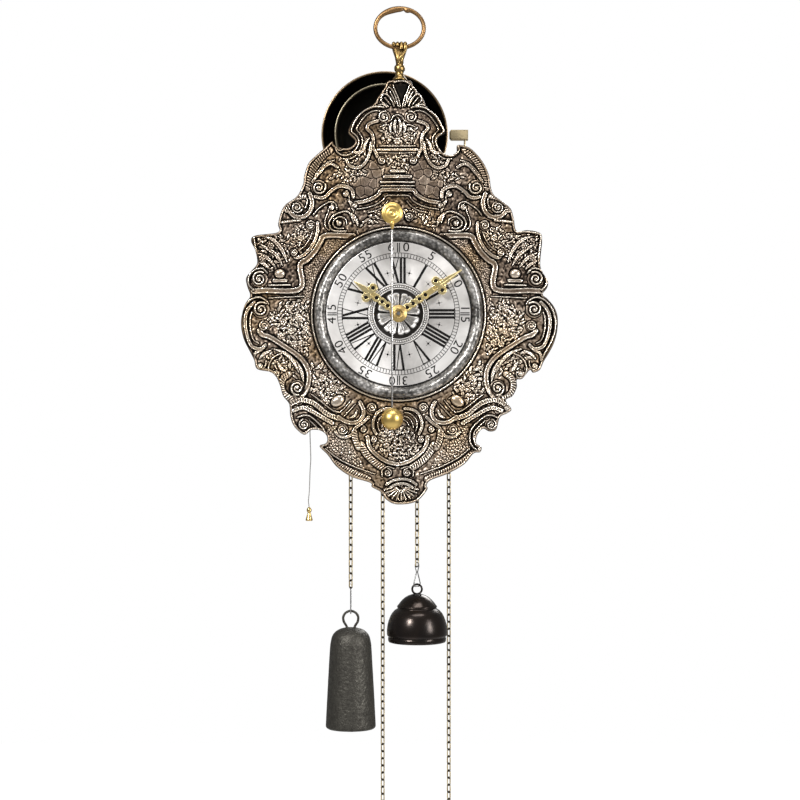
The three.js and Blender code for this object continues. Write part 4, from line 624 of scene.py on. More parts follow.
# Front plate: cast and chased in one piece, once silvered, with a rim moulding, scrolls,
# strapwork and shell. Its hollows have gone brown and black, its high parts are rubbed bright.
outline_pixels = [
    (399, 80), (410, 80.6), (414.3, 87.7), (423, 98.3), (427.7, 107.8), (436.3, 115.5), (442, 125),
    (445, 132.7), (438.2, 136.6), (437, 143.5), (442.2, 152), (450.4, 155.1), (456.5, 152),
    (457.6, 144.9), (468.8, 147), (478, 155.1), (485.1, 165.3), (489.2, 175.5), (491.2, 187.8),
    (494.3, 194.9), (503.5, 202), (510.6, 208.2), (513.7, 217.3), (516.7, 230.6), (528, 230),
    (540.2, 232.7), (542.2, 240.8), (540.7, 257), (541, 268), (547.8, 281), (547.3, 287.6),
    (542.9, 294.1), (547.3, 298.4), (553.8, 306), (557.6, 315.8), (557.6, 328.8), (554.9, 340.7),
    (550.5, 350.5), (544, 361.3), (539.7, 370), (533.2, 372.7), (529.9, 370), (522.3, 378.7),
    (516.9, 379.8), (516.9, 387.4), (512.6, 396), (506, 400.4), (511.5, 409.1), (507.1, 413.4),
    (500, 417.4), (496.2, 429.5), (489.5, 431.5), (482.9, 428.8), (477.5, 434.8), (476.2, 442.9),
    (481.5, 446.9), (480.2, 452.2), (473.5, 453.6), (464.1, 464.3), (448, 473.7), (430.6, 480.4),
    (426.6, 485.7), (427.3, 489.7), (415.9, 501.8), (397, 504.5), (386.4, 499.8), (381.1, 492.4),
    (371.7, 487), (370.4, 483), (351.6, 477), (336.9, 467), (327.5, 454.9), (319.5, 446.2),
    (326.2, 442.9), (326.8, 436.2), (320.8, 430.8), (311.4, 430.1), (304.7, 434.8), (298, 430.8),
    (292.7, 424.1), (290, 415), (289, 404), (283, 396), (280, 386), (276, 377), (270, 372),
    (257, 369), (254, 360), (250, 352), (244, 340), (241, 327), (241.5, 316), (245, 304),
    (250, 296), (247, 286), (246, 278), (251, 271), (257, 263), (255, 250), (251, 241),
    (255, 235.5), (278, 232), (278, 224), (281, 212), (286, 204), (297, 196), (303, 184),
    (304, 176), (308, 164), (313, 158), (324.4, 148), (332, 141.3), (334.9, 145.2), (342.5, 148),
    (350.2, 147), (355, 141.3), (348.3, 133.7), (349.2, 127), (355, 117.4), (363.6, 109.8),
    (374, 103.5), (377, 98.3), (384, 88), (388, 81),
]
relief_pitch = 0.45
lip_half = 0.52
ribs_apart = 2.2
plate_rear = 4.0


def nearest_on(path, x, z):
    """For points x, z: distance to a polyline, length run along it, and which side, -1 or 1."""
    a, b = path[:-1], path[1:]
    ab = b - a
    length = np.maximum(np.hypot(ab[:, 0], ab[:, 1]), 1e-9)
    run = np.concatenate([[0], np.cumsum(length)[:-1]])
    dist, along, side = (np.empty(len(x)) for _ in range(3))
    for start in range(0, len(x), 20000):
        part = slice(start, start + 20000)
        dx, dz = x[part, None] - a[:, 0], z[part, None] - a[:, 1]
        t = held((dx * ab[:, 0] + dz * ab[:, 1]) / length ** 2)
        ox, oz = dx - t * ab[:, 0], dz - t * ab[:, 1]
        square = ox * ox + oz * oz
        k = square.argmin(axis=1)
        i = np.arange(len(k))
        dist[part] = np.sqrt(square[i, k])
        along[part] = run[k] + t[i, k] * length[k]
        cross = ab[k, 0] * dz[i, k] - ab[k, 1] * dx[i, k]
        side[part] = np.where(cross >= 0, 1.0, -1.0)
    return dist, along, side, run[-1] + length[-1]


def inside_polygon(path, x, z):
    inside = np.zeros(np.shape(x), dtype=bool)
    for (x0, z0), (x1, z1) in zip(path, np.roll(path, -1, axis=0)):
        if z0 != z1:
            inside ^= ((z0 > z) != (z1 > z)) & (x < (x1 - x0) * (z - z0) / (z1 - z0) + x0)
    return inside


def blurred(field, radius):
    """Box blur, three times over, which is close to a soft round one."""
    size = max(1, int(round(radius)))
    out = field
    for _ in range(3):
        for axis in (0, 1):
            rims = [(size + 1, size) if a == axis else (0, 0) for a in (0, 1)]
            padded = np.pad(out, rims, mode="edge")
            total = np.cumsum(padded, axis=axis)
            ahead = np.take(total, range(2 * size + 1, total.shape[axis]), axis=axis)
            behind = np.take(total, range(0, total.shape[axis] - 2 * size - 1), axis=axis)
            out = (ahead - behind) / (2 * size + 1)
    return out


class Relief:
    """Heights in millimetres towards the front, on a square grid over a flat ground."""

    def __init__(self, low_x, high_x, low_z, high_z, pitch):
        self.pitch = pitch
        self.x = np.arange(low_x, high_x + pitch, pitch)
        self.z = np.arange(low_z, high_z + pitch, pitch)
        self.gx, self.gz = np.meshgrid(self.x, self.z, indexing="ij")
        self.h = np.zeros(self.gx.shape)
        self.worked = np.zeros(self.gx.shape)

    def window(self, points, reach):
        """The part of the grid that holds the points and what lies within reach of them."""
        spans = []
        for line, places in zip((self.x, self.z), np.asarray(points).T):
            low = int((places.min() - reach - line[0]) / self.pitch)
            high = int((places.max() + reach - line[0]) / self.pitch) + 2
            spans.append(slice(max(0, low), min(len(line), high)))
        return tuple(spans)

    def close_by(self, path, reach, where):
        """Which corners of a window lie within reach of a path, found in small squares."""
        near = np.zeros(self.gx[where].shape, dtype=bool)
        cells = int(reach / self.pitch) + 2
        for x, z in path:
            i = int(round((x - self.x[0]) / self.pitch)) - where[0].start
            j = int(round((z - self.z[0]) / self.pitch)) - where[1].start
            across, up = (slice(max(0, k - cells), max(0, k + cells + 1)) for k in (i, j))
            near[across, up] = True
        return near

    def stroke(self, path, half, height, kind="line", level=0.0, ditch=0.9, taper=0.0):
        """A chased line: half width and height in mm above a level, sunk along both sides."""
        reach = half + 1.4
        where = self.window(path, reach)
        if where[0].stop <= where[0].start or where[1].stop <= where[1].start:
            return
        near = self.close_by(path, reach, where)
        dist, along, side, total = nearest_on(path, self.gx[where][near], self.gz[where][near])
        share = held(along / total)
        wide = half * np.clip(1 - taper * share, 0.25, 1)
        if kind == "leaf":
            wide = half * np.sin(np.pi * np.clip(share, 0.05, 0.95)) ** 0.6
        off = dist / wide
        inside = off < 1
        dome = np.sqrt(held(1 - off * off))
        lip = held(1 - ((dist - wide + lip_half) / lip_half) ** 2)
        if kind == "band":
            shape = np.maximum(lip, 0.3 + 0.12 * dome)
        elif kind == "ribs":
            rib = np.abs(np.cos(np.pi * (along / ribs_apart + 0.3 * side * off)))
            shape = np.maximum(0.85 * lip, 0.15 + 0.85 * rib)
        elif kind == "gadroon":
            lobe = np.abs(np.cos(np.pi * (along / ribs_apart - 0.45 * side * off)))
            shape = 0.1 + 0.9 * lobe * dome ** 0.4
        elif kind == "beads":
            shape = dome * (0.35 + 0.65 * np.abs(np.cos(np.pi * along / ribs_apart)))
        elif kind == "leaf":
            vein = held(dist / (0.35 * half + 0.2))
            shape = dome ** 0.7 * (0.45 + 0.55 * vein) \
                * (0.8 + 0.2 * np.cos(2 * np.pi * (along / ribs_apart - 0.7 * off)))
        else:
            shape = dome
        sunk = ditch * held(1 - ((dist - wide - 0.45) / 0.55) ** 2)
        heights, marks = self.h[where], self.worked[where]
        heights[near] = np.where(inside, level + height * shape, heights[near] - sunk)
        fading = held(1 - (dist - wide) / 1.2)
        marks[near] = np.maximum(marks[near], np.where(inside, 1.0, fading))

    def volute(self, x, z, radius, start, hand, height):
        """A rolled scroll end: a thin spiral ridge in a dish, with a bead at its eye."""
        steps, turns = 60, 1.7
        spiral = []
        for k in range(steps + 1):
            t = k / steps
            r = radius * (0.94 - 0.76 * t ** 0.85)
            angle = start + hand * 2 * pi * turns * t
            spiral.append((x + r * cos(angle), z + r * sin(angle)))
        where = self.window([(x, z)], radius * 1.3)
        gx, gz = self.gx[where] - x, self.gz[where] - z
        far = np.hypot(gx, gz) / radius
        dish = 0.5 + 0.3 * height * held(1.05 - far)
        shadow = 0.8 * held(1 - ((far * radius - radius - 0.5) / 0.7) ** 2)
        self.h[where] = np.where(far < 1.02, dish, self.h[where] - shadow)
        self.stroke(np.array(spiral), max(0.55, 0.13 * radius), height * 0.8, level=0.7, ditch=0.8,
                    taper=0.2)
        bead = held(1 - (far / 0.2) ** 2)
        self.h[where] = np.where(bead > 0, 0.8 + height * np.sqrt(bead), self.h[where])
        self.worked[where] = np.maximum(self.worked[where], (far < 1.15) * 1.0)

    def cells(self, polygon, size, height, seed, gap_share, loose):
        """Punched ground inside a polygon: close-set cushions parted by narrow lines."""
        rng = np.random.default_rng(seed)
        polygon = np.asarray(polygon, dtype=float)
        where = self.window(polygon, 0)
        gx, gz = self.gx[where], self.gz[where]
        inside = inside_polygon(polygon, gx, gz)
        slant = gx / size + 0.5 * np.floor(gz / size)
        ix, iz = np.floor(slant).astype(int), np.floor(gz / size).astype(int)
        ox, oz = ix.min() - 3, iz.min() - 3
        shape = (ix.max() - ox + 5, iz.max() - oz + 5)
        jitter = 0.5 + loose * rng.uniform(-1, 1, shape + (2,))
        tall = rng.uniform(0.7, 1.0, shape)
        first, second = np.full(gx.shape, 99.0), np.full(gx.shape, 99.0)
        chosen = np.zeros(gx.shape)
        for dk in (-1, 0, 1):
            for di in (-2, -1, 0, 1, 2):
                a, b = ix + di - ox, iz + dk - oz
                cz = (iz + dk + jitter[a, b, 1]) * size
                cx = (ix + di + jitter[a, b, 0] - 0.5 * (iz + dk)) * size
                d = np.hypot(gx - cx, gz - cz)
                closer = d < first
                second = np.where(closer, first, np.minimum(second, d))
                chosen = np.where(closer, tall[a, b], chosen)
                first = np.where(closer, d, first)
        seam = held((second - first) / (gap_share * size * 2))
        bumps = height * (chosen * (1 - (1 - seam) ** 3.0) - 0.45)
        free = inside & (self.worked[where] < 0.5)
        self.h[where] = np.where(free, bumps, self.h[where])
        self.worked[where] = np.where(free, 0.4, self.worked[where])

    def cushion(self, px, py, half_x, half_z, tilt, height):
        """A smooth raised oval with a sunk line round it; sizes in photograph pixels."""
        x, z = from_photo(px, py)
        where = self.window([(x, z)], 1.4 * max(half_x, half_z) * pixel)
        gx, gz = self.gx[where] - x, self.gz[where] - z
        c, s = cos(tilt), sin(tilt)
        far = np.hypot((gx * c + gz * s) / (half_x * pixel), (gz * c - gx * s) / (half_z * pixel))
        ditch = 1.1 * held(1 - ((far - 1.12) / 0.14) ** 2)
        dome = 0.4 + height * np.sqrt(held(1 - far * far))
        self.h[where] = np.where(far < 1, dome, self.h[where] - ditch)
        self.worked[where] = np.maximum(self.worked[where], (far < 1.2) * 1.0)

    def foliage(self, polygon, count, length, half, height, seed):
        """Small chased leaves strewn over a polygon, each cut into those beneath."""
        rng = np.random.default_rng(seed)
        polygon = np.asarray([from_photo(*p) for p in polygon])
        low, high = polygon.min(axis=0), polygon.max(axis=0)
        places = rng.uniform(low, high, (count * 3, 2))
        places = places[inside_polygon(polygon, places[:, 0], places[:, 1])][:count]
        for x, z in places:
            heading, bend = rng.uniform(0, 2 * pi), rng.uniform(-1.9, 1.9)
            reach, thick = length * rng.uniform(0.6, 1.2), half * rng.uniform(0.75, 1.15)
            curl = []
            for _ in range(5):
                curl.append((x, z))
                x += reach / 4 * cos(heading)
                z += reach / 4 * sin(heading)
                heading += bend / 3
            self.stroke(smooth_path(curl, 0.5), thick, height * rng.uniform(0.7, 1), "leaf", 0.2)


def photo_path(points):
    return smooth_path([from_photo(*p) for p in points], 0.6)


plate_outline = smooth_path([from_photo(*p) for p in outline_pixels], 1.0, True)
relief = Relief(plate_outline[:, 0].min() - 2, plate_outline[:, 0].max() + 2,
                plate_outline[:, 1].min() - 2, plate_outline[:, 1].max() + 2, relief_pitch)
closed_outline = np.vstack([plate_outline, plate_outline[:1]])
edge_reach = 7.0
all_over = (slice(0, len(relief.x)), slice(0, len(relief.z)))
near_edge = relief.close_by(plate_outline, edge_reach, all_over)
edge_dist = np.full(relief.gx.shape, edge_reach)
edge_dist[near_edge] = nearest_on(closed_outline, relief.gx[near_edge], relief.gz[near_edge])[0]
plate_inside = inside_polygon(plate_outline, relief.gx, relief.gz)
edge_depth = np.where(plate_inside, edge_dist, -edge_dist)
from_dial = np.hypot(relief.gx, relief.gz)
mirror_pixel = 397.5


def both(points, axis=mirror_pixel):
    """The stroke as drawn on the right half, and its mirror image on the left."""
    return points, [(2 * axis - x, y) for x, y in points]


# The casting's skin: slow swells and a fine grain
skin_rng = np.random.default_rng(8)
for reach, size in ((6, 0.5), (2, 0.75), (1, 0.7)):
    swell = blurred(skin_rng.uniform(-1, 1, relief.gx.shape), reach)
    relief.h += size * swell / np.abs(swell).max()

# Punched grounds: tiles and sand in the crest, seeding beside the dial, nuggets low down
grounds = [
    ([(410, 163), (428, 160), (448, 170), (453, 186), (438, 199), (424, 197),
        (414, 186)], 7.4, 1.2, 0.09, 0.25),
    ([(446, 240), (466, 240), (473, 252), (484, 263), (491, 271), (491, 303), (485, 304),
        (479, 276), (468, 260), (450, 246)], 1.9, 1.3, 0.3, 0.45),
    ([(446, 428), (467, 422), (468, 436), (470, 450), (456, 460), (444, 466), (430, 470),
        (437, 456), (445, 444)], 2.5, 1.9, 0.3, 0.45),
    ([(414, 110), (424, 110), (436, 118), (442, 130), (436, 135), (430, 128),
        (424, 120)], 1.3, 0.5, 0.3, 0.45),
]
for number, (polygon, size, height, gap_share, loose) in enumerate(grounds):
    for k, side in enumerate(both(polygon)):
        relief.cells([from_photo(*p) for p in side], size, height, 11 + 2 * number + k, gap_share,
                     loose)

# Chased foliage: bouquet beside the dial, ear, side panel, crest basket, swag, leaves of the foot
thickets = [
    ([(486, 304), (505, 300), (524, 314), (521, 330), (513, 341), (500, 350), (488, 356),
        (486, 335)], 179, 5.9, 0.94, 1.7),
    ([(507, 236), (538, 236), (538, 264), (524, 270), (508, 258)], 104, 5.9, 0.88, 1.4),
    ([(484, 230), (501, 226), (503, 248), (496, 252), (488, 244)], 43, 5.6, 0.78, 1.2),
    ([(380, 123), (415, 123), (414, 145), (381, 145)], 85, 5.0, 0.82, 1.7),
    ([(384, 152), (411, 152), (407, 168), (388, 168)], 42, 5.6, 0.88, 1.6),
    ([(450, 382), (486, 362), (484, 392), (466, 402), (452, 394)], 85, 6.8, 1.21, 2.0),
    ([(379, 430), (416, 430), (418, 450), (398, 462), (377, 450)], 113, 5.3, 1.00, 1.8),
    ([(384, 482), (418, 482), (420, 492), (402, 503), (384, 494)], 43, 5.6, 0.88, 1.7),
    ([(428, 170), (446, 166), (462, 176), (448, 188), (436, 178)], 38, 5.6, 0.88, 1.2),
    ([(500, 360), (530, 352), (528, 366), (512, 376), (500, 374)], 47, 6.6, 1.04, 1.7),
    ([(430, 140), (440, 150), (452, 160), (444, 166), (428, 154)], 33, 5.6, 0.88, 1.3),
    ([(486, 398), (510, 402), (510, 412), (496, 412), (484, 408)], 19, 5.0, 0.88, 1.4),
    ([(404, 204), (424, 210), (438, 230), (420, 222), (404, 214)], 33, 5.3, 0.88, 1.4),
]
for number, (polygon, count, length, half, height) in enumerate(thickets):
    one_sided = min(p[0] for p in polygon) < mirror_pixel
    for k, side in enumerate(both(polygon)[:1 if one_sided else 2]):
        relief.foliage(side, count, length, half, height, 40 + 2 * number + k)

# Mouldings, scrolls and leaves of the right half, struck again, mirrored, on the left: kind,
# half width and height in mm, level, points in the photograph's pixels
chased = [
    # crest scroll from its rolled end over the top and round the notch, and its inner frame
    ("line", 0.63, 2.6, 0.7, [(411.3, 107.8), (416, 106.8), (423, 107.5), (431.2, 111.5),
        (437.8, 118.1), (442.2, 126.4), (443.3, 131.6), (438.2, 136.4), (436.2, 141.3),
        (437.4, 146.6), (441.8, 152.1), (448.6, 155.6), (456, 153.8), (459.2, 148.4),
        (456.9, 143.8)]),
    ("line", 0.46, 1.9, 0.5, [(413, 111.4), (421.5, 111.2), (428.5, 115), (434, 121.5),
        (438.4, 129), (435, 134), (432.6, 139.5), (433.8, 147.6), (438.2, 154.6), (444, 158.5),
        (452, 159)]),
    ("band", 1.4, 2.2, 0.5, [(417, 121), (425.4, 123.9), (427.9, 128.6), (423.3, 133.6),
        (421.6, 140.5), (422.1, 147.4), (419.6, 152), (417.6, 157)]),
    ("band", 1.3, 2.1, 0.5, [(423.7, 143), (424.6, 149.6), (426.4, 156.3), (429.8, 162.7),
        (433.9, 166.6), (439, 168.1), (445.6, 165.4), (448.6, 159.6)]),
    ("leaf", 1.5, 2.0, 0.4, [(425.6, 138), (429.6, 143.8), (431.6, 150), (436, 153), (443, 152)]),
    ("line", 0.50, 1.9, 0.5, [(397.5, 114.8), (401.4, 116.4), (404.6, 120.6), (409, 121.6)]),
    ("line", 0.45, 1.6, 0.5, [(404, 126.6), (409, 124.8), (415, 127)]),
    ("leaf", 1.3, 2.2, 0.5, [(399.2, 119), (400.6, 126), (399.6, 133)]),
    ("leaf", 1.2, 2.0, 0.5, [(403, 122), (405, 128), (403.6, 134)]),
    ("line", 0.45, 1.6, 0.4, [(397.5, 146.2), (415.5, 146.2)]),
    ("beads", 1.3, 2.4, 0.5, [(397.5, 149.8), (417, 149.8)]),
    ("line", 0.45, 1.4, 0.4, [(397.5, 153.2), (416, 152.8)]),
    ("band", 1.2, 2.0, 0.5, [(397.5, 171.2), (404, 171.2)]),
    ("band", 1.4, 2.2, 0.5, [(397.5, 176.6), (410.6, 176.8)]),
    ("line", 0.67, 2.6, 0.6, [(397.5, 182.2), (414.5, 182.4)]),
    ("line", 0.45, 1.8, 0.5, [(397.5, 185.8), (414.6, 186)]),
    ("band", 1.6, 2.8, 0.7, [(397.5, 190), (413, 190.3), (416.5, 194.6), (422.9, 198.8),
        (431, 201.6), (439.5, 202.9)]),
    ("line", 0.50, 2.0, 0.5, [(397.5, 195.6), (408.5, 195.8), (412, 200), (419, 204.6),
        (428.5, 207.8), (438.5, 209.2)]),
    ("line", 0.45, 1.7, 0.4, [(407, 201), (411, 206), (418, 210.4), (427, 212.6)]),
    # shoulder: gadrooned edge, the lines within it, the scrolls below
    ("gadroon", 3.3, 1.7, -0.5, [(465, 149.8), (472.6, 156), (479.6, 165), (484.6, 176),
        (487.2, 188)]),
    ("band", 1.2, 2.0, 0.5, [(457.4, 167.4), (464, 164), (469.9, 166.5), (474.8, 172.3), (479, 177),
        (482.3, 182)]),
    ("line", 0.45, 1.7, 0.4, [(460.4, 160.4), (468, 163), (474.6, 168.6), (480.4, 176)]),
    ("band", 1.5, 2.2, 0.5, [(441.6, 197), (442.8, 190.6), (448.3, 187), (456.6, 186.6),
        (464, 191.4), (469, 196.4), (473.6, 198), (480, 196.8)]),
    ("line", 0.50, 1.8, 0.5, [(445.6, 199.6), (446.4, 194.6), (449.6, 190.6)]),
    ("band", 1.8, 2.7, 0.6, [(485.2, 194), (482.8, 202.4), (484.8, 211), (491.2, 216.8),
        (500.4, 216.4), (506, 211)]),
    ("line", 0.46, 1.9, 0.5, [(489.4, 194.6), (487.6, 201.6), (489.8, 208.6)]),
    ("gadroon", 1.9, 1.8, 0.2, [(490, 196.6), (496, 198), (503, 203.4), (508.4, 210.6)]),
    ("line", 0.59, 2.2, 0.5, [(458.2, 209.4), (459.6, 203.8), (464.9, 202), (471.5, 205.3),
        (477.3, 209.7), (481.5, 215)]),
    ("line", 0.45, 1.7, 0.4, [(466.4, 206.4), (466.8, 212), (469.8, 219.6), (469.6, 226.6),
        (465.6, 230.6)]),
    ("line", 0.71, 2.4, 0.5, [(441.2, 222.6), (444.4, 214.4), (449.6, 211.6), (457, 213.4),
        (463, 217.4), (466, 223.4), (463.4, 229.6), (457, 231.4), (449, 231.2)]),
    ("line", 0.50, 1.9, 0.5, [(448.2, 224.6), (449.4, 219.4), (455.4, 216.8), (461, 220.4),
        (461.6, 225.4), (457, 228.6), (451.4, 228)]),
    ("leaf", 1.6, 2.2, 0.4, [(441.4, 212), (442.6, 205.6), (447, 200)]),
    ("leaf", 1.4, 1.9, 0.4, [(437, 226), (439.4, 219), (444, 213)]),
    # strapwork frame of the dial's field
    ("band", 2.3, 2.6, 0.6, [(441.5, 236.2), (469, 235.8), (474.6, 242.3), (480.2, 251.5),
        (488, 259.8), (495, 266), (495.2, 289), (531, 290.6), (541, 291.4)]),
    ("line", 0.46, 2.0, 0.4, [(490.8, 296.3), (526.2, 298.1)]),
    ("band", 1.4, 2.2, 0.5, [(477.6, 222.9), (477.4, 231.2), (480.2, 241), (484.8, 248.8),
        (491.4, 255), (498, 257.8), (502, 254.6)]),
    ("line", 0.45, 1.7, 0.4, [(482.6, 231.6), (485.6, 239.6), (490.6, 246.6), (496.6, 250.8)]),
    ("beads", 1.2, 2.0, 0.5, [(495, 220.4), (504, 221.2), (513.8, 222.6)]),
    # ear
    ("line", 0.67, 2.2, 0.5, [(516.6, 231.9), (528, 232), (540, 234.8), (540, 244), (538.4, 257),
        (539, 265)]),
    ("leaf", 1.7, 2.0, 0.4, [(508, 262), (513, 250), (522, 240), (532, 236.4)]),
    ("leaf", 1.6, 1.9, 0.4, [(512.4, 265.4), (520, 254), (534, 244.6)]),
    ("leaf", 1.5, 1.9, 0.4, [(519.6, 267), (527, 258.6), (537, 253)]),
    ("leaf", 1.4, 1.8, 0.4, [(525.6, 269), (531, 264), (538, 260.6)]),
    ("band", 1.4, 2.0, 0.5, [(509, 280.6), (521, 280.8)]),
    ("line", 0.67, 2.2, 0.5, [(504.6, 285), (526, 285.4)]),
    ("line", 0.67, 2.6, 0.6, [(527.6, 273), (532.6, 268.6), (540.4, 270), (546, 277),
        (546.2, 284.4), (541.2, 290.4)]),
    # large side scroll and the S scroll that runs down from it
    ("line", 0.71, 3.0, 0.6, [(526.4, 304), (529.4, 300.2), (535.6, 297.4), (543.4, 299.4),
        (550.6, 306.6), (554.9, 318), (554.9, 330.4), (550.6, 342.6), (544.9, 353), (541, 360.4)]),
    ("band", 1.4, 2.5, 0.5, [(540.8, 302.4), (546.2, 308.4), (549.4, 316.4), (549.4, 328),
        (546.6, 339.5), (542.2, 347), (534, 348.8), (529.6, 345)]),
    ("line", 0.45, 1.8, 0.4, [(543.2, 312), (545, 320), (544.2, 331), (541.2, 340), (536, 343.4)]),
    ("band", 2.0, 3.2, 0.7, [(535.8, 331), (532, 335), (526, 336.8), (519.6, 340.4), (512.1, 345.3),
        (503, 351.2), (494.6, 357.8), (489.4, 364.6), (486.2, 373), (486.2, 381.4), (488.6, 390),
        (493.6, 396), (501, 397.4)]),
    ("leaf", 1.8, 2.6, 0.5, [(507, 355.4), (498.4, 363.4), (493.2, 372.6), (491.6, 382)]),
    ("leaf", 1.6, 2.4, 0.5, [(521, 349), (509.6, 353.6), (501.6, 361.4), (496.4, 372)]),
    ("line", 0.59, 2.2, 0.5, [(514, 353.6), (521, 357), (525.4, 363.5), (526.4, 370.3),
        (523.4, 376.4), (518, 377.6), (516.4, 373.4), (519, 371)]),
    ("leaf", 1.5, 2.1, 0.4, [(517.6, 361.4), (514, 368), (509, 372)]),
    ("leaf", 1.4, 2.1, 0.4, [(524, 350.6), (531, 354), (535.6, 359)]),
    ("line", 0.50, 2.0, 0.5, [(529, 360.4), (530, 366.4), (534.6, 369.6), (538, 366)]),
    ("leaf", 1.3, 2.0, 0.4, [(533, 350.4), (540, 353.4), (541, 360)]),
    ("gadroon", 2.7, 2.5, 0.4, [(506, 374), (511.6, 378.4), (513.7, 386.4), (510.6, 394.2),
        (503.4, 399.2)]),
    # swag with its beaded double band
    ("ribs", 2.0, 2.4, 0.4, [(455.6, 418.6), (467.4, 414.2), (475.7, 407.3), (483.1, 402.3),
        (493, 399.9), (501.4, 402.3), (507, 406.4)]),
    ("ribs", 1.7, 2.2, 0.4, [(462.6, 423.2), (474.8, 416), (484.8, 410.2), (493, 407.7),
        (501.4, 410.6)]),
    ("line", 0.50, 2.1, 0.5, [(454.6, 412.6), (462.4, 410.2), (473.2, 402), (483.1, 394.4)]),
    ("line", 0.63, 2.6, 0.6, [(497.6, 417.6), (491, 415.2), (484.8, 416.4), (476.5, 423),
        (471.3, 429.4), (469.6, 436.3), (470.4, 443), (474, 448), (479.4, 450.6)]),
    ("line", 0.46, 2.0, 0.4, [(485.6, 420.4), (479.6, 425.8), (474.8, 431.4), (473.4, 437.6),
        (475.6, 443.6)]),
    ("band", 1.7, 2.6, 0.6, [(434.8, 402.6), (431.8, 409.1), (431.8, 415), (435.8, 420.8),
        (442.6, 422.9), (449.8, 421.4), (456.4, 417)]),
    ("line", 0.45, 1.9, 0.4, [(439.6, 404), (446, 411), (451, 416.4)]),
    ("line", 0.45, 1.9, 0.4, [(444.6, 400.6), (450, 407.4), (455, 412)]),
    ("leaf", 1.2, 2.0, 0.4, [(438, 410), (440, 415.4), (445, 418)]),
    ("band", 1.3, 2.2, 0.5, [(426.4, 417), (433, 423.4), (439.4, 427.8), (442.2, 433.4),
        (447.2, 436.8), (454.6, 436.4), (459.6, 432)]),
    # fans beside the ball, frame of the foot and the leaf below it
    ("band", 1.2, 2.3, 0.5, [(404.6, 408.6), (411.6, 409.4), (417.6, 412.8), (421.2, 419.6),
        (421.8, 427.4), (418.8, 434)]),
    ("line", 0.45, 2.0, 0.4, [(404.6, 412.4), (410.6, 414), (415.2, 418.4), (417.2, 424.6),
        (415.6, 431)]),
    ("line", 0.45, 2.0, 0.4, [(404, 416), (408.6, 418), (412, 422.2), (413.2, 427.4)]),
    ("line", 0.45, 2.0, 0.4, [(403.6, 419.6), (406.8, 421.8), (409, 425.4)]),
    ("band", 1.7, 2.6, 0.6, [(397.5, 464.4), (408.9, 461.2), (419.9, 453.5), (425.9, 445.7),
        (427.4, 437)]),
    ("gadroon", 3.0, 2.2, 0.3, [(411, 468.4), (420.6, 462), (428.6, 454), (433.6, 445)]),
    ("gadroon", 2.6, 2.0, 0.3, [(436.4, 447.6), (439.6, 440), (440.6, 432)]),
    ("line", 0.50, 2.0, 0.4, [(401, 468.6), (407.6, 466.6), (413, 470.6), (412.8, 476.4)]),
    ("gadroon", 3.3, 1.7, -0.5, [(473.6, 453.4), (463, 462.2), (448, 470.6), (437, 475.4),
        (427.6, 479.4)]),
    ("line", 0.45, 1.8, 0.3, [(469.4, 448.6), (458.5, 457.4), (444, 465.2), (430.6, 470.4),
        (420, 474)]),
]
for kind, half, height, level, points in chased:
    for side in both(points):
        relief.stroke(photo_path(side), half, height, kind, level)

# Palmette and foot shell stand a little right of the middle: petals outlined by thin ridges,
# a smooth dark wedge between the upper ones
palmette_axis, shell_x = 401.4, 401.2
wedge = [from_photo(*p) for p in [(393.4, 83.6), (409.6, 84.2), (403, 104.5), (399, 104.5)]]
where = relief.window(wedge, 1)
in_wedge = inside_polygon(np.array(wedge), relief.gx[where], relief.gz[where])
relief.h[where] = np.where(in_wedge, 0.1, relief.h[where])
petals = [
    [(402.4, 107), (404.6, 98), (408, 90), (409.8, 85)],
    [(404.6, 106.4), (406.4, 99.9), (409.8, 91.5), (413.4, 87.6), (415.9, 90.2), (415.6, 94),
        (412.1, 99.9), (408.2, 106)],
    [(413, 91.6), (409.6, 98), (407.2, 103.4)],
    [(408.8, 106.4), (411.5, 99.4), (415.5, 95.3), (419.4, 94.2), (421.6, 98.5), (420.4, 102.4),
        (414.6, 106.6)],
    [(418, 98), (415, 101.6), (412.6, 104.6)],
    [(416, 107.4), (420.4, 104.6), (424.2, 105.4)],
]
for points in petals:
    for side in both(points, palmette_axis):
        relief.stroke(photo_path(side), 0.55, 2.4, "line", 0.5, ditch=1.1)
relief.stroke(photo_path([(394, 82.6), (399, 81.4), (405, 81.6), (409.4, 84)]), 0.6, 2.4, "line",
              0.5)
rays, ray_low, ray_reaches, shell_y = 11, 12, (4.5, 11, 17.5), 486.5
for k in range(rays):
    angle = radians(180 + ray_low + (180 - 2 * ray_low) * k / (rays - 1))
    ray = [from_photo(shell_x + r * cos(angle), shell_y - 0.8 * r * sin(angle))
           for r in ray_reaches]
    relief.stroke(smooth_path(ray, 0.6), 0.6, 1.7, "line", 0.4, ditch=0.6)
for points in ([(386.4, 484.5), (393.6, 480.3), (402, 479), (410, 480.4), (416.4, 484.5)],
               [(390, 487.6), (396, 484.4), (402, 483.4), (408, 484.6), (412.6, 487.6)]):
    relief.stroke(photo_path(points), 1.1, 2.3, "band", 0.6)

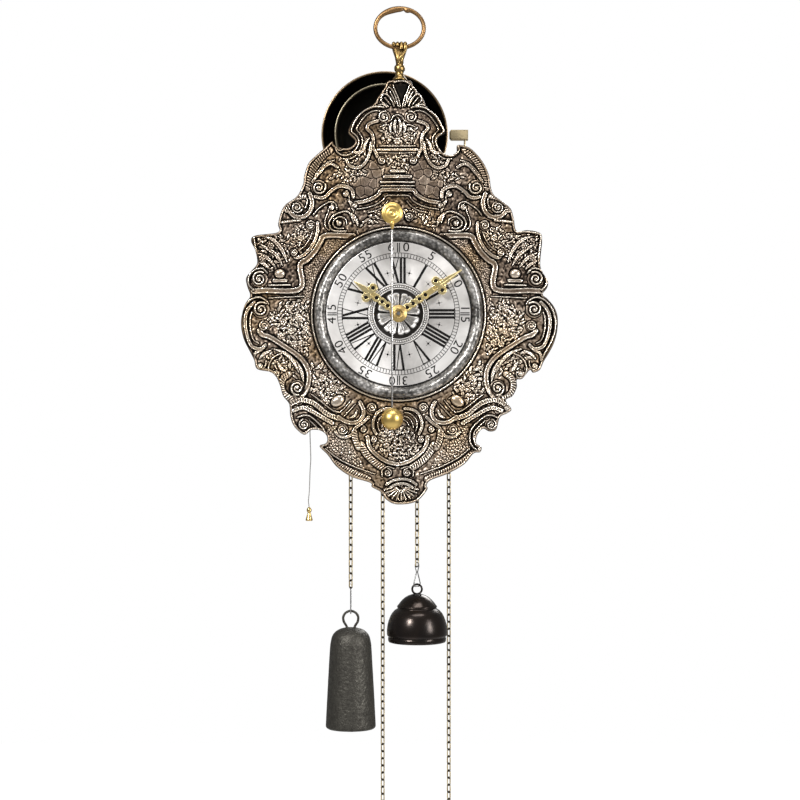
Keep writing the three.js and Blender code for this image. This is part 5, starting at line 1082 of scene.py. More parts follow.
# Rolled scroll ends: pixel place, radius in pixels, start angle in degrees and hand; mirrored
rolled = [
    (411, 117.2, 6.2, 110, -1), (454.2, 147, 4.6, 30, -1), (413, 160.6, 4.2, 60, -1),
    (476.1, 187.7, 7.6, 150, 1), (449.4, 194, 3.2, 100, 1), (498, 207.4, 6.2, 200, 1),
    (463.6, 207.4, 3.0, 90, 1), (455.6, 223, 3.0, 60, -1), (484.8, 225.4, 5.0, 150, -1),
    (501.2, 253, 3.8, 100, 1), (535.6, 279, 8.0, 120, -1), (534, 309.4, 8.2, 130, -1),
    (531, 326, 5.2, 80, -1), (534.5, 366.2, 3.0, -60, 1), (520.6, 373.6, 3.0, 30, -1),
    (497.6, 388, 7.6, -100, 1), (491, 424.6, 5.8, 80, -1), (452.6, 429.4, 5.4, 200, 1),
    (423, 407.6, 5.0, 0, 1), (431.8, 429.4, 3.4, 90, 1), (421.4, 439.6, 3.6, 60, 1),
    (407.2, 472.6, 4.4, 90, 1), (480, 449, 3.0, 90, -1), (506.8, 408.4, 2.6, 0, 1),
    (409.4, 216.6, 4.4, -90, -1), (440, 206, 2.6, 0, 1),
]
for px, py, radius, start, hand in rolled:
    for axis_side in (1, -1):
        x, z = from_photo(mirror_pixel + axis_side * (px - mirror_pixel), py)
        turn = radians(start if axis_side == 1 else 180 - start)
        relief.volute(x, z, radius * pixel, turn, axis_side * hand, min(3.0, 1.4 + 0.2 * radius))

# Eggs, fruit and flower hearts: place, half sizes and tilt, height; mirrored
ovals = [
    (515.2, 273.8, 5.4, 4.7, 0, 3.0), (457.4, 400.9, 7.2, 5.2, -0.6, 2.8),
    (500.6, 329.8, 2.2, 2.2, 0, 2.2), (508.6, 318.6, 1.7, 1.7, 0, 2.0),
    (493.6, 318, 1.7, 1.7, 0, 2.0), (511, 334, 1.6, 1.6, 0, 2.0),
    (466.6, 389.6, 2.4, 1.9, 0.5, 2.2), (474.6, 380, 2.2, 1.8, 0.9, 2.2),
    (455.2, 223, 2.0, 2.0, 0, 2.4), (405.6, 140, 2.0, 2.0, 0, 2.2), (412, 138.6, 1.8, 1.8, 0, 2.0),
    (404, 160.6, 1.9, 2.4, 0, 2.2),
]
for px, py, half_x, half_z, tilt, height in ovals:
    relief.cushion(px, py, half_x, half_z, tilt, height)
    relief.cushion(2 * mirror_pixel - px, py, half_x, half_z, -tilt, height)
blossoms = [
    (497, 317), (511.5, 322), (504, 331), (493.5, 343), (514.5, 336), (506, 308), (501, 344),
    (489, 328), (494, 238), (524, 246), (533, 258), (462, 388), (472, 378), (388, 136), (398, 141),
    (407, 136),
]
petal_reach = 2.3
for px, py in blossoms:
    for axis_side in (1, -1):
        for k in range(6):
            turn = radians(60 * k + 11 * px % 60)
            relief.cushion(mirror_pixel + axis_side * (px + petal_reach * cos(turn) - mirror_pixel),
                           py + petal_reach * sin(turn), 1.35, 1.35, 0, 1.5)
        relief.cushion(mirror_pixel + axis_side * (px - mirror_pixel), py, 1.1, 1.1, 0, 2.0)
cluster_y, cluster_reach = 442, 3.2
for k in range(7):
    relief.cushion(mirror_pixel + cluster_reach * cos(0.9 * k),
                   cluster_y - cluster_reach * sin(0.9 * k), 1.5, 1.5, 0, 2.4)

# Thin ridge round the dial, rim along the outline and its rounded edge
ridge_radius, ridge_half = 75.3, 0.85
ridge_off = (from_dial - ridge_radius) / ridge_half
ridge = 0.6 + 1.9 * np.sqrt(held(1 - ridge_off ** 2))
relief.h = np.where(np.abs(ridge_off) < 1, ridge, relief.h)
beyond = from_dial - ridge_radius - ridge_half
ramp = np.minimum(relief.h, -0.5 + 0.35 * beyond)
relief.h = np.where((beyond > 0) & (beyond < 3.6), ramp, relief.h)
relief.h = np.where(from_dial < ridge_radius - ridge_half, -0.4, relief.h)
rim_off = (edge_depth - 1.1) / 0.9
rim = 0.5 + 0.8 * np.sqrt(held(1 - rim_off ** 2))
relief.h = np.where((np.abs(rim_off) < 1) & (relief.h < 2.0), rim, relief.h)
relief.h -= 0.5 * np.exp(-((edge_depth - 2.6) / 0.6) ** 2) * (relief.h < 1.2)
relief.h = np.clip(relief.h, -1.7, 4.1)

# How rubbed each place is: bright where it stands over what lies round it, dark in the hollows,
# the wedge, beside the rim, on the ridge and on the ears
close, wide = blurred(relief.h, 2), blurred(relief.h, 6)
over = relief.h - close
hollow = 0.53 + np.where(over < 0, 0.72, 0.44) * over + 0.08 * (close - wide)
hollow[where] -= 0.22 * in_wedge
hollow -= 0.3 * held(1 - edge_depth / 2.2) + 0.2 * (np.abs(ridge_off) < 1)
ear_x, ear_z, ear_half_x, ear_half_z = 112, 46, 17, 25
hollow -= 0.13 * np.exp(-((np.abs(relief.gx) - ear_x) / ear_half_x) ** 2
                        - ((relief.gz - ear_z) / ear_half_z) ** 2)
hollow = held(hollow)
edge_fall = held(edge_depth / 0.9)
relief.h = relief.h * edge_fall - 1.6 * (1 - edge_fall) ** 2


def trimmed_cells(gx, gz, inside_depth):
    """Kept grid cells of a flat sheet and its corners, with border ones moved on to the edge."""
    depth_centre = 0.25 * (inside_depth[:-1, :-1] + inside_depth[1:, :-1]
                           + inside_depth[:-1, 1:] + inside_depth[1:, 1:])
    kept = depth_centre > 0
    used = np.zeros(gx.shape, dtype=int)
    for di, dj in ((0, 0), (1, 0), (0, 1), (1, 1)):
        used[di:di + kept.shape[0], dj:dj + kept.shape[1]] += kept
    slope_x, slope_z = np.gradient(inside_depth, gx[1, 0] - gx[0, 0], gz[0, 1] - gz[0, 0])
    steep = np.maximum(slope_x ** 2 + slope_z ** 2, 0.25)
    move = np.where((used > 0) & (used < 4), -inside_depth / steep, 0)
    return kept, gx + move * slope_x, gz + move * slope_z


def sheet_mesh(kept, x, z, front_y, rear_y):
    """A closed sheet from kept grid cells: a front, walls along open edges and a flat back."""
    used = np.zeros(x.shape, dtype=bool)
    for di, dj in ((0, 0), (1, 0), (0, 1), (1, 1)):
        used[di:di + kept.shape[0], dj:dj + kept.shape[1]] |= kept
    number = np.full(x.shape, -1)
    number[used] = np.arange(used.sum())
    count = int(used.sum())
    front = np.stack([x[used], front_y[used], z[used]], axis=1)
    cell_i, cell_j = np.nonzero(kept)
    faces = np.stack([number[cell_i, cell_j], number[cell_i + 1, cell_j],
                      number[cell_i + 1, cell_j + 1], number[cell_i, cell_j + 1]], axis=1)
    directed = np.concatenate([faces[:, [k, (k + 1) % 4]] for k in range(4)])
    key = directed.min(axis=1) * (count + 1) + directed.max(axis=1)
    _, first, times = np.unique(key, return_index=True, return_counts=True)
    edges = directed[first[times == 1]]
    rim_numbers = np.unique(edges)
    lookup = np.full(count, -1)
    lookup[rim_numbers] = np.arange(len(rim_numbers)) + count
    rear = front[rim_numbers].copy()
    rear[:, 1] = rear_y
    walls = np.stack([edges[:, 1], edges[:, 0], lookup[edges[:, 0]], lookup[edges[:, 1]]], axis=1)
    verts = np.vstack([front, rear])
    flat = [Vector((v[0], v[2])) for v in rear]
    bounds = [(int(lookup[a]) - count, int(lookup[b]) - count) for a, b in edges]
    _, _, triangles, origins, _, _ = delaunay_2d_cdt(flat, bounds, [], 2, 1e-7)
    back = [tuple(origins[i][0] + count for i in triangle) for triangle in triangles]
    return verts, faces.tolist(), walls.tolist() + back, used


def sheet_piece(name, mesh_parts, place, material, fields=None):
    """A sheet's mesh as a piece: smooth front, crisp walls and back; fields are kept per corner."""
    verts, faces, others, used = mesh_parts
    piece = new_piece(name, [place(*v) for v in verts], faces + others, material)
    piece.data.polygons.foreach_set("use_smooth", [True] * len(faces) + [False] * len(others))
    for label, values in (fields or {}).items():
        extra = np.full(len(verts) - int(used.sum()), 0.45)
        marked(piece, label, np.concatenate([values[used], extra]).astype(np.float32))
    return piece


def silvered_finish():
    """Worn silvering: brown-black in the hollows, champagne on the level, rubbed on the ridges, and
    darker towards the top as painted shade.
    """
    material, shader, add, wire = new_material("worn_silvering")
    place = add("ShaderNodeTexCoord").outputs["Object"]
    wear = add("ShaderNodeAttribute", attribute_name="hollow").outputs["Fac"]
    cloud = mottled(add, place, 60.0, 5.0, Roughness=0.65)
    fine = mottled(add, place, 640.0, 3.0, Roughness=0.6)
    clouded = reckoned(add, "MULTIPLY_ADD", cloud, cloud_share, wear)
    speckled = reckoned(add, "MULTIPLY_ADD", fine, fine_share, clouded)
    # Painted shade: the silvering is made darker towards the top of the plate, by its height.
    height = add("ShaderNodeSeparateXYZ", {"Vector": place}).outputs["Z"]
    top_shade = spread(add, height, top_shade_low, top_shade_high, 0.0, top_shade_share)
    level = reckoned(add, "SUBTRACT", reckoned(add, "SUBTRACT", speckled, top_shade),
                     0.5 * (cloud_share + fine_share))
    drift = mottled(add, place, 26.0, 3.0, Roughness=0.5)
    share = ramp_of(add, drift, [(0.42, (0, 0, 0)), (0.6, (1, 1, 1))])
    silver, gilt = ramp_of(add, level, patina), ramp_of(add, level, warm_patina)
    wire(mixed(add, share, silver, gilt), "Base Color")
    shader.inputs["Metallic"].default_value = 0.85
    wire(spread(add, level, 0.3, 0.75, 0.62, 0.24), "Roughness")
    bumped(add, wire, fine, 0.0003)
    return material


cloud_share, fine_share = 0.34, 0.26
top_shade_share, top_shade_low, top_shade_high = 0.068, -0.33, -0.15
patina = [
    (0.22, (0.003, 0.002, 0.001)), (0.37, (0.026, 0.018, 0.013)), (0.48, (0.14, 0.103, 0.076)),
    (0.57, (0.33, 0.26, 0.20)), (0.72, (0.56, 0.47, 0.38)), (0.97, (0.88, 0.81, 0.71))]
warm_patina = [
    (0.22, (0.003, 0.002, 0.001)), (0.37, (0.030, 0.018, 0.008)), (0.48, (0.15, 0.098, 0.052)),
    (0.57, (0.31, 0.22, 0.135)), (0.72, (0.53, 0.405, 0.28)), (0.97, (0.86, 0.73, 0.55))]
silvering = silvered_finish()
dial_cut, floor_hole = 74.0, 6
plate_depth = np.minimum(edge_depth, from_dial - dial_cut)
plate_kept, plate_x, plate_z = trimmed_cells(relief.gx, relief.gz, plate_depth)
cuts = [-1e3, -40.0, 45.0, 1e3]
for number, (low, high) in enumerate(zip(cuts, cuts[1:])):
    level_z = relief.gz[:-1, :-1]
    in_section = plate_kept & (level_z >= low) & (level_z < high)
    section = sheet_mesh(in_section, plate_x, plate_z, -relief.h, plate_rear)
    plate = sheet_piece("embossed_plate_" + ("low", "middle", "top")[number], section, row,
                        silvering, {"hollow": hollow})
    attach(plate, "frame")
    if number == 1:
        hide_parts("front_plate")
plate_floor = new_piece("plate_behind_dial", *revolve(
    [(floor_hole, 0), (dial_cut, 0), (dial_cut, plate_rear), (floor_hole, plate_rear)], 128, "Y",
    closed=True), silvering, smooth=False)
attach(plate_floor, "frame")

# Dial: a flat pewter disc, engraved and waxed black, with a chased rosette at its centre
# inside a beaded ring. It is pinned to the plate inside its dark border.
pewter = aged_metal("engraved_pewter", (0.80, 0.77, 0.74), (0.62, 0.60, 0.58), (0.32, 0.46), 45.0,
                    bump=0.00005, contrast=0.2, metallic=0.5)
dial_radius, dial_rear, dial_front = 63.3, -0.3, -2.8
rosette_radius, petal_count, petal_phase = 19.0, 8, radians(28)
bead_ring, dial_hole = 23.9, 4.6
ring_lines = ((21.9, 0.4), (25.7, 0.5))
grime_and_shade_black = (0.012, 0.010, 0.008, 1)


def dial_height(r, angle):
    """Relief of the dial's middle, in mm above its flat face, and how dark its hollows are."""
    turn = (angle - petal_phase) * petal_count / (2 * pi)
    across = 2 * abs(turn - round(turn))
    reach = rosette_radius * (1 - 0.10 * max(0.0, 1 - across / 0.22) ** 2 - 0.16 * across ** 5)
    inside = min(1.0, max(0.0, (reach - r) / 1.1)) * min(1.0, max(0.0, (0.93 - across) / 0.16))
    lip = exp(-((r - reach + 1.6) / 1.3) ** 2) + 0.8 * exp(-((across - 0.72) / 0.12) ** 2)
    flutes = 0.28 * cos(2 * pi * turn * 5) * min(1.0, max(0.0, (15.5 - r) / 4))
    rise = inside * (0.55 + 0.75 * min(1.2, lip) + flutes)
    dark = 1.2 * (1 - inside) + 0.55 * max(0.0, 1 - lip) * inside
    if r > rosette_radius + 0.2:
        dark = 1.3 if r < ring_lines[0][0] else 0.75
        for ring_at, ring_half in ring_lines:
            near = max(0.0, 1 - ((r - ring_at) / ring_half) ** 2)
            rise += 0.7 * sqrt(near)
            dark *= 1 - near
    if r > 26.2:
        dark = 0.0
    return rise, min(1.0, dark)


def engraved_finish():
    """Pewter whose struck hollows are filled with dark dirt, and whose face carries painted sheen
    in broad patches.
    """
    material, shader, add, wire = new_material("chased_pewter")
    place = add("ShaderNodeTexCoord").outputs["Object"]
    grime_and_shade = add("ShaderNodeAttribute", attribute_name="grime_and_shade").outputs["Fac"]
    # Painted sheen: broad bright and grey patches over the face stand in for the turned face's
    # light and dark fans, laid over its own uneven tone.
    patch = mottled(add, place, 13.0, 6.0, Roughness=0.55, Distortion=0.4)
    face = ramp_of(add, patch, [
        (0.34, (0.36, 0.342, 0.325)), (0.48, (0.66, 0.635, 0.61)), (0.60, (0.92, 0.895, 0.87))])
    wire(mixed(add, grime_and_shade, face, grime_and_shade_black), "Base Color")
    shader.inputs["Metallic"].default_value = 0.6
    shader.inputs["Anisotropic"].default_value = 0.55
    turned = add("ShaderNodeTangent", direction_type="RADIAL", axis="Y")
    wire(turned.outputs["Tangent"], "Tangent")
    grain = mottled(add, place, 500.0, 3.0)
    wire(spread(add, grain, 0.3, 0.7, 0.34, 0.44), "Roughness")
    bumped(add, wire, grain, 0.00005, 0.5)
    return material


chased_to = 27.0
rings = [*np.arange(dial_hole, chased_to, 0.33), *np.arange(chased_to, dial_radius, 2.5),
         dial_radius]
spokes = 360
dial_rings, dial_grime = [], []
for number, r in enumerate([*rings, dial_radius, dial_hole]):
    at_back = number >= len(rings)
    dial_rings.append([])
    for k in range(spokes):
        angle = 2 * pi * k / spokes
        rise, dark = (0.0, 0.0) if at_back else dial_height(float(r), angle)
        y = dial_rear if at_back else dial_front - rise
        dial_rings[-1].append(row(r * sin(angle), y, r * cos(angle)))
        dial_grime.append(dark)
dial = new_piece("pewter_dial", *loft(dial_rings, True), engraved_finish())
marked(dial, "grime_and_shade", dial_grime)
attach(dial, "frame")
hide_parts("dial")


def around_tree():
    """Sets one source piece round a circle in X and Z, turned outwards."""
    tree, add, given = new_tree("set_round_circle", [
        ("Geometry", "Geometry"), ("Piece", "Object"), ("Material", "Material")])
    source = add("GeometryNodeObjectInfo", {"Object": given["Piece"]})
    turn = add("GeometryNodeInputNamedAttribute", {"Name": "turn"}, data_type="FLOAT")
    spin = add("ShaderNodeCombineXYZ", {"Y": turn.outputs["Attribute"]})
    rotation = add("FunctionNodeEulerToRotation", {"Euler": spin.outputs["Vector"]})
    placed = add("GeometryNodeInstanceOnPoints", {
        "Points": given["Geometry"], "Instance": source.outputs["Geometry"],
        "Rotation": rotation.outputs["Rotation"]})
    finish_tree(add, placed.outputs["Instances"], given["Material"])
    return tree


ring_nodes = around_tree()


def set_round(name, source, places, material, smooth=True):
    """Copies of a source, made about the origin, at (x, y, z, turn) places in mm and radians."""
    piece = grown(name, [row(x, y, z) for x, y, z, _ in places], [], ring_nodes, {"Piece": source},
                  material, smooth, [turn for _, _, _, turn in places])
    bpy.data.objects.remove(source)
    return piece


def small_source(verts, faces, material):
    piece = new_piece("small_source", [Vector(v) * MM for v in verts], faces, material)
    piece.hide_render = True
    return piece


def slanted(points, y0, y1):
    """A flat outline in X and Z, from y0 back to y1, as corners in mm and faces."""
    count = len(points)
    verts = [(x, y, z) for y in (y0, y1) for x, z in points]
    faces = [tuple(range(count)), tuple(range(2 * count - 1, count - 1, -1))]
    faces += [(k, k + count, (k + 1) % count + count, (k + 1) % count) for k in range(count)]
    return verts, faces


def block(x0, x1, z0, z1, y0, y1):
    return slanted([(x0, z0), (x1, z0), (x1, z1), (x0, z1)], y0, y1)


def round_places(radius, count, y, phase=0.0):
    angles = [2 * pi * (k + phase) / count for k in range(count)]
    return [(radius * sin(a), y, radius * cos(a), a) for a in angles]


def bead(radius):
    ball = bmesh.new()
    bmesh.ops.create_uvsphere(ball, u_segments=8, v_segments=5, radius=radius)
    verts = [tuple(v.co) for v in ball.verts]
    faces = [tuple(v.index for v in f.verts) for f in ball.faces]
    ball.free()
    return verts, faces


beads = set_round("dial_beads", small_source(*bead(0.7), pewter),
                  round_places(bead_ring, 78, dial_front - 0.15), pewter)
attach(beads, "frame")

# Engraved and waxed marks of the dial: roman hours, railway minute track, arabic minutes,
# half-hour crosses. They stand 0.06 mm proud as the wax does.


def wax_finish():
    material, shader, add, wire = new_material("black_wax_fill")
    place = add("ShaderNodeTexCoord").outputs["Object"]
    wire(ramp_of(add, mottled(add, place, 700.0, 3.0), [
        (0.35, (0.003, 0.003, 0.003)), (0.8, (0.014, 0.012, 0.011))]), "Base Color")
    shader.inputs["Roughness"].default_value = 0.85
    shader.inputs["Specular IOR Level"].default_value = 0.15
    return material


wax = wax_finish()
wax_front, wax_rear = dial_front - 0.06, dial_front + 0.1
numeral_low, numeral_high = 26.6, 48.5
thick, thin, leg_reach = 1.1, 0.4, 3.0
serif = 0.6


def numeral_i(x):
    return [block(x - thick, x + thick, numeral_low, numeral_high, wax_front, wax_rear)]


def numeral_v(x):
    left, right, low, high = x - leg_reach, x + leg_reach, numeral_low, numeral_high
    return [slanted([(left - thick, high), (x - thick * 0.5, low), (x + thick * 0.9, low),
                     (left + thick, high)], wax_front, wax_rear),
            slanted([(right - thin, high), (right + thin, high), (x + thin + 0.5, low),
                     (x + 0.3 - thin, low)], wax_front, wax_rear)]


def numeral_x(x):
    left, right, low, high = x - leg_reach, x + leg_reach, numeral_low, numeral_high
    return [slanted([(left - thick, high), (left + thick, high), (right + thick, low),
                     (right - thick, low)], wax_front, wax_rear),
            slanted([(right - thin, high), (right + thin, high), (left + thin, low),
                     (left - thin, low)], wax_front, wax_rear)]


def hour_numeral(letters):
    spans = {"I": 3.1, "V": 7.2, "X": 7.4}
    width = sum(spans[c] for c in letters)
    x = -width / 2
    pieces = []
    for c in letters:
        middle = x + spans[c] / 2
        pieces += {"I": numeral_i, "V": numeral_v, "X": numeral_x}[c](middle)
        x += spans[c]
    for z in (numeral_low, numeral_high):
        pieces.append(block(-width / 2 - 0.2, width / 2 + 0.2, z - serif / 2, z + serif / 2,
                            wax_front, wax_rear))
    return pieces


def turned_about_dial(mesh_parts, angle):
    verts, faces = mesh_parts
    c, s = cos(angle), sin(angle)
    return [row(x * c + z * s, y, -x * s + z * c) for x, y, z in verts], faces


hours = ["XII", "I", "II", "III", "IIII", "V", "VI", "VII", "VIII", "IX", "X", "XI"]
numeral_parts = []
for number, letters in enumerate(hours):
    for mesh_parts in hour_numeral(letters):
        numeral_parts.append(turned_about_dial(mesh_parts, 2 * pi * number / 12))
numerals = new_piece("hour_numerals", *several(*numeral_parts), wax, smooth=False)


def flat_ring(radius, half):
    low, high = radius - half, radius + half
    return revolve([(low, wax_front), (high, wax_front), (high, wax_rear), (low, wax_rear)],
                   240, "Y", closed=True)


track_low, track_high = 49.2, 53.0
lines = new_piece("engraved_circles", *several(*[flat_ring(r, w) for r, w in (
    (track_low, 0.24), (track_high, 0.24), (26.6, 0.2), (62.9, 0.35))]), wax, smooth=False)
track_middle, track_half = (track_low + track_high) / 2, (track_high - track_low) / 2
mark_y, mark_half = dial_front + 0.02, 0.08
blocks = set_round("minute_blocks", small_source(
    *block(-0.24, 0.24, -track_half, track_half, -mark_half, mark_half), wax),
    round_places(track_middle, 120, mark_y), wax, False)
crosses = set_round("half_hour_crosses", small_source(*several(
    block(-0.14, 0.14, -2.8, 2.8, -mark_half, mark_half),
    block(-2.6, 2.6, -0.14, 0.14, -mark_half, mark_half),
    block(-0.75, 0.75, -0.75, 0.75, -0.085, mark_half)), wax),
    round_places(36.5, 12, mark_y, 0.5), wax, False)
figure_size, figure_wide, figure_thinned, figure_radius = 10.9, 1.08, 0.013, 57.6
digits_apart, quarter_apart = 3.2, {12: 6.7, 3: 4.9, 6: 5.5, 9: 5.7}
bar_apart, bar_half, bar_low, bar_high = 0.85, 0.45, 53.6, 61.8


def minute_figures():
    """Arabic minutes, tops outwards, from the built-in face, thinned as an engraver's line."""
    parts = []
    for number in range(1, 13):
        digits, turn = str(5 * number), 2 * pi * number / 12
        for k, digit in enumerate(digits):
            text = bpy.data.curves.new("figure", "FONT")
            text.body = digit
            text.align_x, text.align_y = "CENTER", "CENTER"
            text.size, text.offset, text.extrude = figure_size, figure_thinned, mark_half
            holder = set_out("figure", text)
            bpy.context.view_layer.update()
            mesh = bpy.data.meshes.new_from_object(
                holder.evaluated_get(bpy.context.evaluated_depsgraph_get()))
            apart = quarter_apart.get(number, digits_apart)
            place = apart * (2 * k - 1) if len(digits) == 2 else 0.0
            verts = [(v.co.x * figure_wide + place, mark_y - v.co.z, figure_radius + v.co.y)
                     for v in mesh.vertices]
            faces = [tuple(f.vertices) for f in mesh.polygons]
            parts.append(turned_about_dial((verts, faces), turn))
            bpy.data.objects.remove(holder)
        if number in quarter_apart:
            for x in (-bar_apart, bar_apart):
                bar = block(x - bar_half, x + bar_half, bar_low, bar_high, wax_front, wax_rear)
                parts.append(turned_about_dial(bar, turn))
    return several(*parts)


figures = new_piece("minute_figures", *minute_figures(), wax, smooth=False)
for piece in (numerals, lines, blocks, crosses, figures):
    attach(piece, "frame")

# Dial border: a half-round moulding of dark pewter, turned and then struck all over with small
# flowers. It lies over the seam between dial and plate, and both its corners are darkened: dirt,
# with painted shade.


def struck_finish():
    """Dark pewter with small struck flowers, worn on the crown, and black in both corners: dirt,
    with painted shade.
    """
    material, shader, add, wire = new_material("struck_pewter")
    place = add("ShaderNodeTexCoord").outputs["Object"]
    wander = add("ShaderNodeTexNoise", {"Vector": place}, Scale=420.0, Detail=2.0)
    shift = add("ShaderNodeVectorMath", {0: wander.outputs["Color"], "Scale": 0.0022},
                operation="SCALE")
    moved = add("ShaderNodeVectorMath", {0: place, 1: shift.outputs["Vector"]}, operation="ADD")
    flowers = add("ShaderNodeTexVoronoi", {"Vector": moved.outputs["Vector"]}, Scale=330.0,
                  Randomness=0.8).outputs["Distance"]
    patch = mottled(add, place, 42.0, 6.0, Roughness=0.7)
    tone = reckoned(add, "ADD", reckoned(add, "MULTIPLY", flowers, 0.35), patch)
    metal = ramp_of(add, tone, [
        (0.50, (0.52, 0.50, 0.475)), (0.60, (0.27, 0.258, 0.243)), (0.70, (0.15, 0.143, 0.134)),
        (0.80, (0.06, 0.057, 0.053))])
    grime_and_shade = add("ShaderNodeAttribute", attribute_name="grime_and_shade").outputs["Fac"]
    wire(mixed(add, grime_and_shade, metal, grime_and_shade_black), "Base Color")
    shader.inputs["Metallic"].default_value = 0.8
    shader.inputs["Roughness"].default_value = 0.36
    bumped(add, wire, flowers, 0.0005, 0.8, invert=True)
    return material


dark_pewter = struck_finish()
border_profile = [
    (63.6, -0.3), (63.6, -2.6), (64.1, -3.1), (64.6, -3.4), (65.2, -4.3), (66.0, -5.2),
    (67.2, -5.9), (68.6, -6.3), (69.9, -6.1), (71.2, -5.4), (72.2, -4.3), (72.9, -3.1),
    (73.4, -2.6), (73.5, -0.3),
]
border_inner, border_outer = border_profile[0][0], border_profile[-1][0]
border = new_piece("border_moulding", *roughened(
    revolve(refined(border_profile, 0.6), 420, "Y", closed=True), 0.09, 620, 2), dark_pewter)
# Both corners of the border, where it meets dial and plate, are darkened: painted shade, with dirt.
centre_x, _, centre_z = row(0, 0, 0)
corner_at = np.array([hypot(v.co.x - centre_x, v.co.z - centre_z) for v in border.data.vertices])
marked(border, "grime_and_shade", held(1 - (corner_at / MM - border_inner) / 1.5)
       + held(1 - (border_outer - corner_at / MM) / 1.0))
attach(border, "frame")
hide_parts("dial_border")

# Hands: sawn and filed from pale brass sheet, pierced with small holes and with an open loop on
# either side of the blade. A domed brass collet, pinned to the arbor, holds them.
pale_brass = aged_metal("pale_brass", (0.98, 0.84, 0.48), (0.72, 0.54, 0.20), (0.24, 0.36), 140.0)
hand_pitch, hand_reach = 0.22, 11
eye_disc, loop_disc, drilled, shade_disc_radius = 3.6, 3.9, 1.6, 1.7


def capsule(u, v, u0, v0, u1, v1, r0, r1):
    """Inside depth of a bar with round ends whose radius changes from r0 to r1."""
    du, dv = u1 - u0, v1 - v0
    t = held(((u - u0) * du + (v - v0) * dv) / (du * du + dv * dv))
    return r0 + (r1 - r0) * t - np.hypot(u - u0 - t * du, v - v0 - t * dv)


def disc_depth(u, v, u0, v0, r):
    return r - np.hypot(u - u0, v - v0)


def hand_piece(name, length, holes, loop_at, loop_side, hub, bore, rear, thickness, angle):
    """A pierced hand pointing at an angle, and black discs set inside its drilled holes, painted
    shade that makes the open holes read dark.
    """
    u, v = np.meshgrid(np.arange(-hub - 1, length + 1, hand_pitch),
                       np.arange(-hand_reach, hand_reach + hand_pitch, hand_pitch), indexing="ij")
    blade = length - loop_at
    waist = loop_at + 0.35 * blade
    parts = [disc_depth(u, v, 0, 0, hub), capsule(u, v, 0, 0, loop_at, 0, 2.7, 2.4),
             capsule(u, v, loop_at, 0, waist, 0, 1.7, 2.5),
             capsule(u, v, waist, 0, length - 0.5, 0, 2.6, 0.45)]
    for at in holes:
        parts.append(disc_depth(u, v, at, 0, eye_disc))
    for side in (-1, 1):
        parts += [disc_depth(u, v, loop_at, side * loop_side, loop_disc),
                  capsule(u, v, loop_at - 6.5, side * 1.2, loop_at - 1.0, side * (loop_side - 1.6),
                          0.75, 0.75),
                  capsule(u, v, loop_at + 2.2, side * (loop_side - 0.4), loop_at + 0.3 * blade,
                          side * 1.2, 0.8, 0.6),
                  disc_depth(u, v, loop_at + 2.4, side * (loop_side + 1.7), 0.85),
                  disc_depth(u, v, loop_at - 2.4, side * (loop_side + 1.5), 0.75)]
    depth = parts[0]
    for shape in parts[1:]:
        depth = np.maximum(depth, shape)
    centres = [(at, 0) for at in holes] + [(loop_at, side * loop_side) for side in (-1, 1)]
    cuts = [disc_depth(u, v, 0, 0, bore)]
    cuts += [disc_depth(u, v, *centre, drilled) for centre in centres]
    for slit in (-1, 1):
        cuts.append(capsule(u, v, loop_at - 5.6, slit * 0.35, loop_at - 2.4, slit * 0.5, 0.3, 0.45))
    for hole in cuts:
        depth = np.minimum(depth, -hole)
    veins = 0.22 * held(1 - np.abs(v) / 0.4) * (u > loop_at + 1)
    rise = thickness * held(depth / 0.25) ** 0.5 - veins
    kept, place_u, place_v = trimmed_cells(u, v, depth)
    c, s = cos(angle), sin(angle)

    def on_dial(along, up, across):
        return row(across * c + along * s, rear - up, -across * s + along * c)
    # Black discs inside the drilled holes are painted shade: the holes are open, and are dark only
    # from shade.
    low, high = rear - 0.4, rear - 0.05
    bottom = [(0, low), (shade_disc_radius, low), (shade_disc_radius, high), (0, high)]
    shade_discs = [revolve(bottom, 24, "Y", (across * c + along * s, 0, -across * s + along * c))
               for along, across in centres]
    return (sheet_piece(name, sheet_mesh(kept, place_u, place_v, rise, 0), on_dial, pale_brass),
            new_piece(name + "_hole_bottoms", *several(*shade_discs), wax))


minute_hand, minute_shade_discs = hand_piece(
    "pierced_minute_hand", length=66.6, holes=(9.2, 15.3, 22.0, 28.4), loop_at=42.6, loop_side=4.9,
    hub=7.0, bore=2.5, rear=-9.6, thickness=1.1, angle=radians(55.3))
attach(minute_shade_discs, "minute")
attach(minute_hand, "minute")
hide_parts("minute_hand")
hour_hand, hour_shade_discs = hand_piece(
    "pierced_hour_hand", length=47.8, holes=(11.6, 17.5, 23.4), loop_at=31.0, loop_side=5.1,
    hub=7.0, bore=4.3, rear=-6.2, thickness=1.1, angle=radians(306))
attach(hour_shade_discs, "hour")
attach(hour_hand, "hour")
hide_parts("hour_hand")
collet_profile = [
    (1.9, -11.0), (7.5, -11.0), (7.5, -11.4), (7.1, -11.8), (6.4, -11.9), (6.0, -12.3),
    (5.2, -12.4), (4.8, -12.9), (4.0, -13.2), (3.4, -13.25), (3.0, -12.4), (2.5, -12.3),
    (2.2, -12.9), (1.9, -12.9),
]
collet_brass = aged_metal("collet_brass", (0.58, 0.42, 0.17), (0.24, 0.16, 0.06), (0.38, 0.5),
                          120.0)
collet = new_piece("domed_collet", *revolve(collet_profile, 64, "Y", closed=True), collet_brass)
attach(collet, "minute")
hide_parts("hand_collet")

